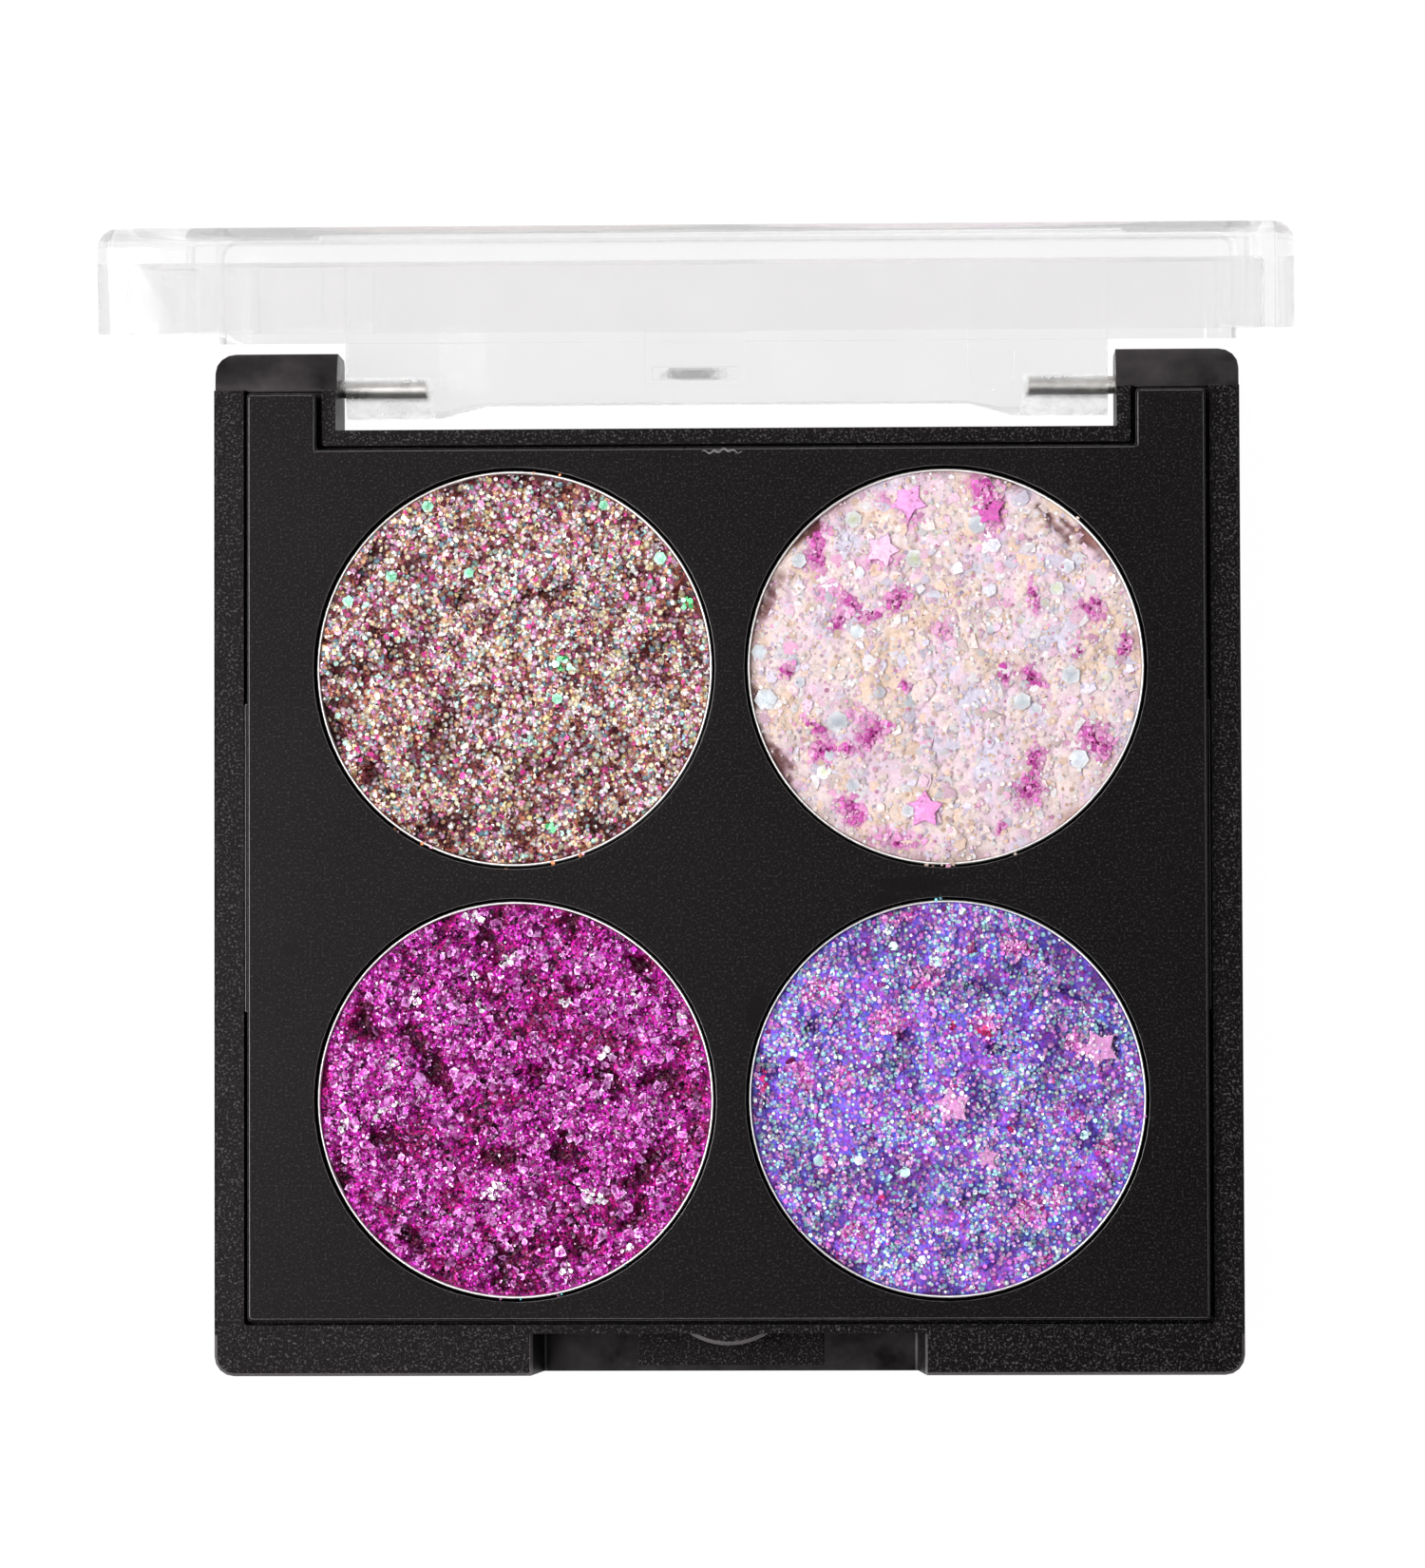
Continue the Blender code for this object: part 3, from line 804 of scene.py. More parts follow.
        out += (self.x, self.y, 0.0)
        tints = np.repeat(colour[:, None, :], total, axis=1)
        if isinstance(rim, str):
            uneven = 1.15 - self.contrast * rng.random((count, sides, 1))
            tints[:, :sides] = self.gain * np.asarray(srgb(rim)) * uneven
        elif rim:
            tints[:, :sides] *= rim
        faces = []
        for start in range(0, count * total, total):
            for i in range(sides):
                j = (i + 1) % sides
                faces.append((start + i, start + j, start + sides))
                faces.append((start + j, start + i, start + sides + 1))
        tints = np.clip(tints.reshape(-1, 3), 0, 1)
        name = f"{name}_{self.corner}"
        return make_piece(name, out.reshape(-1, 3), faces, material, tints=tints)

    def crumbs(self, places, colours, material):
        """Grains that have dropped on the pan's rim and on the tray beside it."""
        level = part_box(f"pan_{self.corner}")[1].z / MM
        size = (0.1, 0.26)
        grain = np.array(places)
        self.scatter("crumbs", grain, size, colours, material, tilt=14, ragged=0.5, rest_on=level)

    def seat(self, node):
        """Where a frame piece lies, measured from the cake's centre."""
        low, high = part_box(node)
        return (low.x + high.x) / 2 / MM - self.x, (low.y + high.y) / 2 / MM - self.y

    def star(self, name, at, radius, turn_deg, colour, material, node=None, outline=None):
        """A thin five-pointed sequin with a slightly domed middle."""
        x0, y0 = at
        count = 2 * STAR_POINTS
        angles = [math.radians(turn_deg) + math.pi * i / STAR_POINTS for i in range(count)]
        arms = [radius if i % 2 == 0 else radius * STAR_WAIST for i in range(count)]
        slope = [math.tan(math.radians(v)) for v in STAR_LEAN]
        base = float(self.height(x0, y0)) + STAR_LIFT
        rims = []
        for drop, grow in ((0.0, 0.80), (0.0, 0.93), (0.03, 1.0), (STAR_THICK, 0.97)):
            for angle, arm in zip(angles, arms):
                dx = arm * grow * math.cos(angle)
                dy = arm * grow * math.sin(angle)
                rims.append((x0 + dx, y0 + dy, base + dx * slope[0] + dy * slope[1] - drop))
        points = rims + [(x0, y0, base + 0.03), (x0, y0, base - STAR_THICK)]
        top = len(points) - 2
        faces = []
        for i in range(count):
            j = (i + 1) % count
            faces.append((i, j, top))
            for ring in range(3):
                a = ring * count
                b = a + count
                faces.append((b + i, b + j, a + j, a + i))
            faces.append((3 * count + j, 3 * count + i, top + 1))
        points = np.array(points) + (self.x, self.y, 0.0)
        tints = np.tile(srgb(colour), (len(points), 1))
        if outline:
            tints[2 * count : 3 * count] = srgb(outline)
        tints *= STAR_DIM
        obj = make_piece(name, points, faces, material, tints=tints)
        if node:
            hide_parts(node)


def blended(fac, colours):
    """Linear colours along fac from 0 to 1, through evenly spaced #hex stops."""
    stops = np.array([srgb(c) for c in colours])
    place = np.linspace(0, 1, len(stops))
    return np.stack([np.interp(fac, place, stops[:, k]) for k in range(3)], -1)


def bronze_cake():
    """Back left: wine and copper ground packed with cream, rose, lilac and mint glitter."""
    hollows = (
        (-10.9, 0.1, 2.0, 0.6, 12), (-3.9, 12.0, 1.6, 0.6, 0), (1.9, 12.3, 1.4, 0.5, -8),
        (2.2, 5.0, 1.7, 0.35, 14), (7.9, 5.8, 1.2, 0.8, -30), (-3.6, 4.6, 1.1, 0.3, 80),
        (-8.2, 1.6, 1.5, 0.35, -38), (-4.2, -10.4, 1.9, 0.9, 10), (5.4, -10.2, 1.1, 0.8, 30),
        (-9.2, -7.3, 1.3, 0.7, -40), (9.5, 1.4, 0.8, 0.6, 0), (-4.5, -3.6, 0.8, 0.4, 30),
        (-12.0, -3.6, 0.5, 1.5, 10), (-9.5, 7.0, 1.6, 0.5, 50),
    )
    cake = Cake("back_left", 11, -0.05, 0.8, (2.2, 0.9, 1.3), hollows, "#5c2c38", "cake_bronze", 1.14, 0.64)

    # Painted shade: the body runs from dark wine in the hollows and gaps to white on the clumps.
    def paint(x, y):
        return blended(cake.tone(x, y), ["#4c2028", "#8c5058", "#c49494", "#ffffff"])

    palette = [
        (0.0, "#5c2430"), (0.16, "#8c4a3c"), (0.30, "#a83c74"), (0.38, "#b87c5c"), (0.50, "#704050"),
        (0.60, "#d8a888"), (0.70, "#9c7c94"), (0.80, "#6c8c90"), (0.88, "#ecd8b0"), (0.95, "#e8b8d8"),
    ]
    glints = [(0.0, 0.25), (0.4, 0.7), (0.85, 1.0), (0.93, 1.0), (1.0, 1.5)]
    body = foil("powder_bronze", 0.16, glints, palette, 0.2, 0.45, 0.9)
    cake.body_mesh(body, paint)
    sparks = [(0.0, 0.7), (0.5, 1.0), (0.93, 1.0), (1.0, 1.25)]
    fine = foil("flakes_bronze", 0.13, sparks, None, 0.3, 0.35, 0.5)
    points = cake.spread_by_tone(11500, 0.45)
    colours = [
        (18, "#fff0cc"), (13, "#fbdce8"), (15, "#ffffff"), (9, "#e0ac88"), (8, "#d094c0"),
        (7, "#cc5c94"), (7, "#bce8dc"), (6, "#7c9cac"), (8, "#a8644c"), (10, "#5c2430"), (5, "#d8c488"),
    ]
    cake.scatter("glitter", points, (0.11, 0.23), colours, fine, tilt=26, rim=0.42, shade=0.6)
    rose = [(3, "#c83c88"), (2, "#8c2858"), (2, "#e098c4"), (3, "#6c2438"), (2, "#b06888")]
    points = cake.spread(520)
    cake.scatter("rose_flakes", points, (0.16, 0.34), rose, fine, tilt=26, lift=0.05, ragged=0.5, shade=0.5)
    mint = [(1, "#5cac84"), (1, "#7cbc9c")]
    spots = [
        (-5.7, 10.7), (5.9, 10.7), (9.6, 7.2), (-3.0, 6.3), (-11.0, 4.5), (2.8, -2.0), (-8.1, 6.1),
    ]
    cake.scatter("mint_hexes", np.array(spots), (0.34, 0.55), mint, fine, tilt=10, lift=0.12, rim="#a0d8bc")
    leaves = ((11.4, 4.0, 0.35, 0.7, 15), (2.4, -10.3, 0.7, 0.3, -30), (3.2, 0.2, 0.9, 0.45, -20))
    green = [(2, "#5ccc7c"), (2, "#84e4a4"), (1, "#2c8c50"), (1, "#b8f4d0")]
    points = cake.within(leaves, 9)
    cake.scatter("green_flakes", points, (0.2, 0.36), green, fine, tilt=16, lift=0.1, ragged=0.5)
    spilt = (
        (-7.7, -10.7), (-7.9, -10.5), (-6.1, -11.5), (-5.5, -11.7), (4.3, -12.3), (4.5, -12.2),
        (2.5, -12.8), (1.3, 12.9), (3.0, 12.7), (-0.6, -13.2),
    )
    cake.crumbs(spilt, [(2, "#e8a0b8"), (2, "#c87850"), (1, "#f8e0c8")], fine)


def blush_cake():
    """Back right: pink, peach and pearl patches with pearl hexes and hot pink fragments and stars."""
    soft = (
        (-2.0, 9.7, 1.0, 0.7, -20), (-4.2, 10.8, 0.6, 0.5, 0), (3.2, 9.0, 0.9, 0.7, -50),
        (-4.2, 6.9, 1.3, 0.5, 10), (-7.4, 4.7, 1.3, 0.7, -35), (-0.2, 2.3, 0.6, 0.7, 0),
        (-5.5, -3.2, 0.9, 0.6, 0), (9.9, -4.8, 1.2, 1.1, 30), (-3.4, -11.3, 1.9, 0.6, -8),
        (9.4, 3.6, 0.9, 0.7, -20),
    )
    deep = (
        (2.6, 11.7, 0.9, 0.6, -25), (3.0, 10.4, 0.6, 1.0, 15), (-8.4, 8.1, 0.5, 0.9, -30),
        (-8.2, 7.0, 0.4, 0.7, 10), (-6.1, 4.1, 0.9, 0.3, -40), (-5.0, 3.3, 0.8, 0.3, 20),
        (-7.0, 3.0, 0.6, 0.3, 50), (-3.1, 4.4, 0.9, 0.5, 35), (5.8, 4.6, 0.3, 0.9, 10),
        (9.5, 3.7, 0.8, 0.3, -35), (9.9, 4.1, 0.4, 0.5, 40), (11.8, 1.3, 0.3, 0.9, -10),
        (5.5, -0.6, 1.0, 0.4, -38), (3.8, -0.6, 0.25, 0.6, 0), (-10.4, -0.3, 0.45, 0.3, 40),
        (-2.7, -1.2, 0.3, 0.4, 0), (-8.5, -4.0, 1.0, 0.25, -35), (-4.7, -4.3, 1.1, 0.45, 15),
        (-4.9, -4.4, 0.3, 1.0, -20), (-8.0, -5.5, 0.8, 0.6, 30), (-6.5, -5.4, 0.6, 0.35, 0),
        (9.7, -4.9, 1.1, 0.45, -50), (10.4, -5.3, 0.4, 0.7, 0), (5.8, -6.3, 0.5, 0.9, 0),
        (5.5, -8.1, 0.7, 0.9, -25), (-6.2, -9.2, 0.9, 0.5, -30), (-5.8, -9.8, 0.6, 0.4, 40),
        (3.5, -10.6, 0.2, 0.45, -30), (-2.9, -11.6, 0.5, 0.25, 0), (8.7, 0.9, 0.35, 0.2, 30),
    )
    brown = (
        (6.9, 9.7, 1.6, 0.28, -52), (8.2, 9.2, 1.0, 0.25, -35), (-11.3, 4.9, 0.6, 1.2, -20),
        (-8.9, 8.9, 1.0, 0.3, 40), (-11.0, -6.4, 0.7, 2.0, 25), (9.4, 8.5, 0.9, 0.5, -45),
        (4.3, 12.2, 1.3, 0.3, -18), (-12.4, -2.0, 0.4, 0.8, 5),
    )
    cake = Cake("back_right", 23, -0.05, 0.7, (3.0, 1.2, 1.6), brown, "#905c60", "cake_blush", 0.545, 0.44)
    patches = Noise(81, 1.7)
    blots = Noise(82, 0.7)
    warm = Noise(83, 3.4)

    def paint(x, y):
        fac = 0.45 * patches(x, y) + 0.3 * blots(x, y) + 0.35 * warm(x, y)
        fac = np.clip((fac - 0.3) / 0.5, 0, 1)
        base = blended(fac, ["#e8e0f4", "#f8d8e8", "#fbe4e6", "#fce4da", "#fadcc8"])
        # Colours laid over the strokes: soft pink, deep pink, and brown over the dipped strokes.
        stroke_colours = ((soft, "#f09cd8", 0.8), (deep, "#dc50b8", 0.9), (brown, "#743438", 0.95))
        for strokes, colour, amount in stroke_colours:
            cover = amount * cake.inside(strokes, x, y, 5.0, 1.2)[:, None]
            base = base * (1 - cover) + np.asarray(srgb(colour)) * cover
        away = np.hypot(x, y) / cake.radius
        rim = np.clip((away - 0.93) / 0.07, 0, 1) * np.clip((patches(y, x) - 0.35) * 1.6, 0, 0.8)
        return base * (1 - rim[:, None]) + np.asarray(srgb("#a87468")) * rim[:, None]

    cells = [(0.0, 0.76), (0.35, 0.93), (0.85, 1.0), (1.0, 1.2)]
    cake.body_mesh(foil("powder_blush", 0.17, cells, None, 0.0, 0.45, 0.55), paint)
    sheen = [(0.0, 0.74), (0.4, 0.93), (0.8, 1.0), (1.0, 1.15)]
    pearl = foil("flakes_pearl", 0.16, sheen, None, 0.05, 0.35, 0.35)
    petals = [(5, "#fad0e6"), (5, "#fce4e0"), (3, "#fddcca"), (2, "#ece2f6"), (4, "#fcf4f8"), (1, "#f8b8dc")]
    points = cake.spread_outside([*deep, *brown], 800, 0.3)
    cake.scatter("petals", points, (0.2, 0.75), petals, pearl, tilt=9, lift=0.0, ragged=0.6)
    pale = [(5, "#fad6ea"), (4, "#fdeee8"), (4, "#fbd6be"), (3, "#e4d4f0"), (4, "#ffffff"), (1, "#f4acd4")]
    points = cake.spread_outside([*deep, *brown], 3400)
    cake.scatter("glitter", points, (0.08, 0.17), pale, pearl, tilt=17, lift=0.04, shade=0.22)
    big = [(3, "#d6e0ea"), (2, "#eeeac4"), (3, "#d8daec"), (1, "#ecd8ee")]
    points = cake.spread(30, 0.8)
    cake.scatter("pearl_hexes", points, (0.3, 0.55), big, pearl, tilt=10, lift=0.06, rim="#f0e8f4")
    spots = [
        (-2.0, 7.1), (-9.6, 7.0), (7.3, 5.1), (-5.8, 2.3), (8.2, -0.6), (-8.0, -6.9), (-7.1, -3.6),
        (-2.3, -2.2), (5.0, -2.3), (-12.2, 1.0), (-11.8, -2.1), (8.7, -6.1), (2.1, 9.3), (-6.0, 9.7),
    ]
    white = [(3, "#d8e4ec"), (1, "#e4eac0"), (2, "#d4dcea")]
    cake.scatter("white_hexes", np.array(spots), (0.5, 0.8), white, pearl, tilt=8, lift=0.10, rim="#f4f4fa")
    hot = foil("flakes_hot_pink", 0.16, [(0.0, 0.6), (0.5, 0.95), (1.0, 1.2)], None, 0.15, 0.35, 0.4)
    around = [(x, y, 1.5 * length, 1.8 * width, turn) for x, y, length, width, turn in deep]
    blush = [(3, "#fcb8e6"), (2, "#fcd4ee"), (3, "#f898dc")]
    points = cake.within([*soft, *around], 7)
    look = {"tilt": 20, "lift": 0.05, "rim": "#f4a4d8", "ragged": 0.4}
    cake.scatter("soft_pink", points, (0.14, 0.34), blush, pearl, **look)
    pink = [(5, "#ff90e0"), (6, "#fa78d8"), (4, "#ec58c8"), (3, "#ffb4ea"), (2, "#c43c9c")]
    look = {"tilt": 22, "lift": 0.07, "rim": "#dc58b8", "ragged": 0.5}
    cake.scatter("pink_flakes", cake.within(deep, 12), (0.14, 0.36), pink, hot, **look)
    core = [(x, y, 0.6 * length, 0.5 * width, turn) for x, y, length, width, turn in deep]
    wine = [(2, "#a81c80"), (2, "#80105c"), (2, "#d040a8")]
    points = cake.within(core, 16)
    cake.scatter("wine_flakes", points, (0.1, 0.22), wine, hot, tilt=22, lift=0.10, ragged=0.5)
    pits = [(1, "#5a2418"), (1, "#4a1c20")]
    cake.scatter("dark_specks", cake.spread(70, 0.6), (0.03, 0.06), pits, hot, tilt=5, lift=0.12)
    spilt = (
        (-1.3, -13.0), (-0.9, -13.1), (-0.3, -13.0), (0.1, -13.1), (0.4, -12.9), (4.5, -12.3),
        (8.7, 9.7),
    )
    cake.crumbs(spilt, [(2, "#f4d8c8"), (1, "#f4a8d0"), (1, "#c89080")], pearl)
    film = foil("star_film_blush", 0.2, [(0.0, 0.55), (0.5, 0.95), (1.0, 1.3)], None, 0.1, 0.35, 0.35)
    stars = {
        "star_blush_front": (1.3, 90, "#f49cdc"),
        "star_blush_back_left": (1.3, 55, "#f4a4e0"),
        "star_blush_back_right": (1.2, 25, "#d45cb4"),
    }
    for node, (radius, turn, colour) in stars.items():
        cake.star(node + "_film", cake.seat(node), radius, turn, colour, film, node=node, outline="#d060b4")
    cake.star("pale_star", (-4.1, 7.7), 1.2, 70, "#f4c8e4", film, outline="#e494cc")


def magenta_cake():
    """Front left: deep magenta foil in clumps, with hollows painted near-black as painted shade, and
    pale-edged hex flakes.
    """
    hollows = (
        (-2.2, 10.3, 0.6, 1.0, 20), (-5.3, 2.5, 1.6, 0.8, -60), (-6.6, 4.4, 1.0, 0.5, -40),
        (1.7, 1.9, 1.2, 0.6, 35), (5.6, 1.4, 1.5, 0.7, -20), (9.8, 1.6, 1.3, 0.6, 15),
        (-1.1, -3.9, 1.2, 0.6, 0), (3.1, -3.1, 0.9, 1.3, 30), (-8.7, -2.5, 0.8, 1.2, 20),
        (0.3, -10.1, 2.2, 1.0, 10), (0.1, -12.0, 2.4, 0.6, 0), (3.9, -9.8, 1.6, 0.6, 40),
        (8.6, -4.5, 1.6, 0.6, 60), (-9.8, 5.6, 0.6, 1.2, 10), (8.4, 8.4, 1.3, 0.5, -50),
        (4.6, 7.4, 0.9, 0.3, 10), (-6.8, -9.0, 1.2, 0.5, -40), (-11.4, -4.8, 0.5, 1.3, 15),
        (7.9, -7.9, 0.6, 1.4, -10), (3.9, 11.7, 0.5, 0.9, -30),
    )
    cake = Cake("front_left", 37, -0.1, 1.1, (2.2, 0.9, 1.1), hollows, "#2a0218", "cake_magenta", 2.1, 1.08)

    # Painted shade: the body runs from near-black in the hollows and gaps to white on the clumps.
    def paint(x, y):
        return blended(cake.tone(x, y), ["#30041c", "#8c1468", "#d050b8", "#ffffff"])

    palette = [
        (0.0, "#7c0464"), (0.20, "#c01ca0"), (0.45, "#a40c88"), (0.62, "#e040cc"), (0.78, "#5c0444"),
        (0.88, "#f080dc"), (0.96, "#c86090"),
    ]
    glints = [(0.0, 0.2), (0.35, 0.6), (0.75, 1.0), (0.94, 1.0), (1.0, 1.5)]
    cake.body_mesh(foil("powder_magenta", 0.13, glints, palette, 0.3, 0.4, 1.0), paint)
    sparks = [(0.0, 0.35), (0.4, 0.75), (0.9, 1.0), (1.0, 1.4)]
    leaf = foil("flakes_magenta", 0.11, sparks, None, 0.55, 0.33, 0.7)
    points = cake.spread_by_tone(10500, 0.2)
    colours = [
        (9, "#d424b4"), (6, "#b4109a"), (5, "#f060dc"), (4, "#ffa0f0"), (1, "#ffd0f0"), (5, "#840468"),
        (4, "#500440"),
    ]
    cake.scatter("glitter", points, (0.11, 0.27), colours, leaf, tilt=36, rim=0.34, shade=0.95, ragged=0.5)
    shards = [(5, "#c41ca4"), (4, "#dc34c0"), (3, "#8c0c74"), (2, "#f070dc")]
    points = cake.spread_by_tone(1500, 0.1, 0.4)
    cake.scatter("shards", points, (0.2, 0.6), shards, leaf, tilt=38, rim="#f88ce4", ragged=0.7, shade=0.8)
    dots = [(3, "#f890e4"), (3, "#f068d4"), (1, "#ffd0f4")]
    points = cake.spread(1700)
    cake.scatter("dots", points, (0.06, 0.12), dots, leaf, tilt=24, lift=0.10, rim=0.6, shade=0.35)
    pale = [(1, "#fbd8f6"), (2, "#f49ce4"), (1, "#fff0f4")]
    clusters = (
        (-2.8, 12.1, 0.5, 0.5, 0), (-0.6, 9.2, 0.9, 0.3, 25), (-2.7, 8.0, 0.4, 0.5, 0),
        (-6.5, 6.9, 0.35, 0.5, -10), (-2.0, 6.0, 0.6, 0.3, -50), (-8.6, -0.6, 0.9, 0.35, 30),
        (-11.3, -1.7, 0.4, 0.5, 0), (5.9, 3.0, 0.5, 0.4, 0), (5.2, -6.4, 0.9, 0.6, -20),
        (10.9, 5.3, 0.5, 0.3, -40), (7.2, -9.7, 0.4, 0.2, 20), (3.3, -11.2, 0.4, 0.4, 0),
        (3.4, 6.4, 0.5, 0.4, 0), (-1.6, -6.0, 1.0, 0.4, 35), (-8.0, 2.6, 0.4, 0.6, 20),
    )
    look = {"tilt": 24, "lift": 0.09, "rim": "#ffe4fa", "ragged": 0.5}
    cake.scatter("pale_flakes", cake.within(clusters, 14), (0.14, 0.34), pale, leaf, **look)
    spilt = ((2.8, -12.8), (3.0, -12.7), (0.3, -13.0), (-1.0, -13.0), (7.2, -10.8))
    cake.crumbs(spilt, [(2, "#58c8d0"), (1, "#e898d8")], leaf)


def violet_cake():
    """Front right: violet and blue ground under dense blue-white sparkle, with pink clusters and stars."""
    hollows = (
        (2.2, 7.4, 0.9, 0.6, -20), (-11.6, 1.6, 0.4, 1.6, 0), (10.6, 3.6, 0.5, 1.2, 20),
        (1.7, -6.6, 1.2, 0.3, 20), (-9.4, -7.8, 1.4, 0.5, -45), (8.2, 6.9, 1.0, 0.35, -40),
        (3.6, 3.3, 0.9, 0.3, 0), (10.6, -5.0, 0.4, 1.3, 20), (-8.4, 5.0, 0.7, 0.4, 50),
        (-2.7, 4.2, 0.7, 0.3, -30), (-6.9, -10.6, 1.5, 0.35, -30), (4.3, 8.6, 0.7, 0.5, 0),
    )
    cake = Cake("front_right", 53, -0.05, 0.8, (2.5, 1.0, 1.3), hollows, "#3c2464", "cake_violet", 1.0, 0.66)
    drift = Noise(91, 1.3)
    hues = Noise(92, 0.9)

    def paint(x, y):
        fac = np.clip((0.6 * drift(x, y) + 0.5 * hues(x, y) - 0.2) / 0.7, 0, 1)
        colour = blended(fac, ["#b060d0", "#9464d0", "#7c68dc", "#7488e0"])
        # Painted shade: the colour is pulled towards the dusk colour in the hollows and gaps.
        return cake.shaded(colour, x, y, 0.85)

    palette = [
        (0.0, "#ffffff"), (0.30, "#e0c0ff"), (0.50, "#c0c8ff"), (0.66, "#ff90e8"), (0.78, "#c080c0"),
        (0.90, "#a0f0ff"),
    ]
    glints = [(0.0, 0.4), (0.35, 0.8), (0.75, 1.0), (0.94, 1.05), (1.0, 1.6)]
    cake.body_mesh(foil("powder_violet", 0.15, glints, palette, 0.15, 0.42, 0.8), paint)
    ice = foil("flakes_ice", 0.12, [(0.0, 0.65), (0.5, 1.0), (0.9, 1.0), (1.0, 1.25)], None, 0.2, 0.33, 0.45)
    points = cake.spread(11500)
    points = cake.keep(points, np.clip(1.3 * drift(*points.T) + 0.1, 0.3, 1))
    blue = [(8, "#b0e8f4"), (5, "#f4ffff"), (5, "#90a4f0"), (5, "#9c68d8"), (5, "#d490e4"), (4, "#f4b4ec")]
    cake.scatter("glitter", points, (0.10, 0.185), blue, ice, tilt=24, lift=0.05, rim=0.55, shade=0.5)
    rosy = foil("flakes_rosy", 0.15, [(0.0, 0.6), (0.5, 1.0), (1.0, 1.3)], None, 0.2, 0.33, 0.4)
    clusters = (
        (-8.4, 6.9, 1.4, 0.9, 10), (-3.9, 5.0, 1.2, 1.0, -20), (-1.2, 7.9, 1.2, 0.8, 20),
        (4.2, 10.0, 0.9, 0.7, -10), (-9.5, 1.6, 0.6, 1.2, 20), (-1.9, -1.1, 1.0, 0.5, 0),
        (-7.0, 1.4, 0.7, 1.0, 0), (10.3, -3.1, 0.8, 0.7, 30), (-6.2, -8.6, 0.9, 0.6, 0),
        (3.5, -8.3, 0.9, 0.5, 20), (5.6, -7.2, 1.5, 1.0, 15), (7.2, -6.2, 0.6, 0.8, 0),
        (-7.6, -10.2, 1.2, 0.5, -35), (-12.2, 1.2, 0.3, 1.2, 0), (8.4, 3.6, 0.7, 1.0, 20),
        (4.5, 9.7, 1.0, 0.7, 0), (-3.2, 11.9, 1.2, 0.5, 10), (2.6, 5.0, 1.1, 0.6, -10),
        (2.8, -4.0, 0.7, 0.6, 0), (-7.9, -4.3, 0.5, 0.6, 0), (-2.7, -4.0, 0.5, 0.5, 0),
        (10.4, 9.9, 0.1, 0.1, 0), (6.3, -10.6, 0.6, 0.5, 30), (-5.0, -0.4, 0.3, 0.5, 0),
        (0.5, 1.0, 0.5, 0.4, 0), (8.5, -1.3, 0.5, 0.5, 0),
    )
    pink = [(5, "#e070cc"), (5, "#f4a8e4"), (4, "#c83ca8"), (2, "#fbd0f0"), (1, "#94206c")]
    look = {"tilt": 26, "lift": 0.06, "rim": 0.6, "ragged": 0.4}
    cake.scatter("pink_flakes", cake.within(clusters, 30), (0.1, 0.24), pink, rosy, **look)
    loose = [(3, "#d86cd4"), (2, "#f0a4ec"), (2, "#a83ca8")]
    look = {"tilt": 24, "lift": 0.06, "rim": 0.6, "shade": 0.4}
    cake.scatter("loose_pink", cake.spread(2100), (0.09, 0.2), loose, rosy, **look)
    wine = [(2, "#a01058"), (1, "#c02468"), (1, "#5c0c48")]
    spots = (
        (2.4, 4.3, 0.6, 0.4, -20), (0.4, 4.8, 0.3, 0.35, 0), (-10.3, 2.6, 0.4, 0.3, 0),
        (-12.0, 1.0, 0.2, 0.7, 0), (4.1, -2.0, 0.3, 0.25, 0), (1.7, 9.8, 0.35, 0.35, 0),
        (-2.0, 7.4, 0.3, 0.2, 30), (6.9, 1.1, 0.25, 0.2, 0), (-4.5, -6.6, 0.3, 0.2, 0),
        (4.6, -5.0, 0.3, 0.2, 0),
    )
    points = cake.within(spots, 14)
    cake.scatter("wine_flakes", points, (0.18, 0.32), wine, rosy, tilt=20, lift=0.08, ragged=0.4)
    pearls = [(1, "#e8f4fb"), (1, "#fbe4f4"), (1, "#b8f4f0")]
    spots = [
        (-0.6, 9.0), (-2.8, -4.8), (-8.4, -4.0), (-3.5, 10.0), (-1.7, -10.5), (8.9, -2.4), (-5.8, -4.0),
    ]
    cake.scatter("pearl_hexes", np.array(spots), (0.3, 0.5), pearls, ice, tilt=12, lift=0.10, rim="#c8dce8")
    spilt = ((-0.7, 13.0), (-0.4, 13.1), (-9.9, -8.2), (-9.7, -8.5), (12.9, -1.2))
    cake.crumbs(spilt, [(2, "#8cd8e8"), (1, "#d890d8")], ice)
    sparks = [(0.0, 0.45), (0.45, 0.9), (0.85, 1.0), (1.0, 1.6)]
    film = foil("star_film_violet", 0.2, sparks, None, 0.15, 0.35, 0.5)
    frost = [(3, "#f8d8f4"), (2, "#d0a0e0"), (2, "#e088cc"), (1, "#ffffff")]
    for node, turn in (("star_violet_middle", 99), ("star_violet_right", 115)):
        at = cake.seat(node)
        cake.star(node + "_film", at, 1.35, turn, "#e49cd8", film, node=node, outline="#ffd0f8")
        points = cake.within([(*at, 1.2, 1.2, 0)], 9)
        cake.scatter(node + "_frost", points, (0.08, 0.15), frost, ice, tilt=20, lift=0.22)
    cake.star("small_star", (2.6, -3.8), 0.75, 20, "#dc94d0", film, outline="#f0b0e0")


# ---------------------------------------------------------------- frame pieces


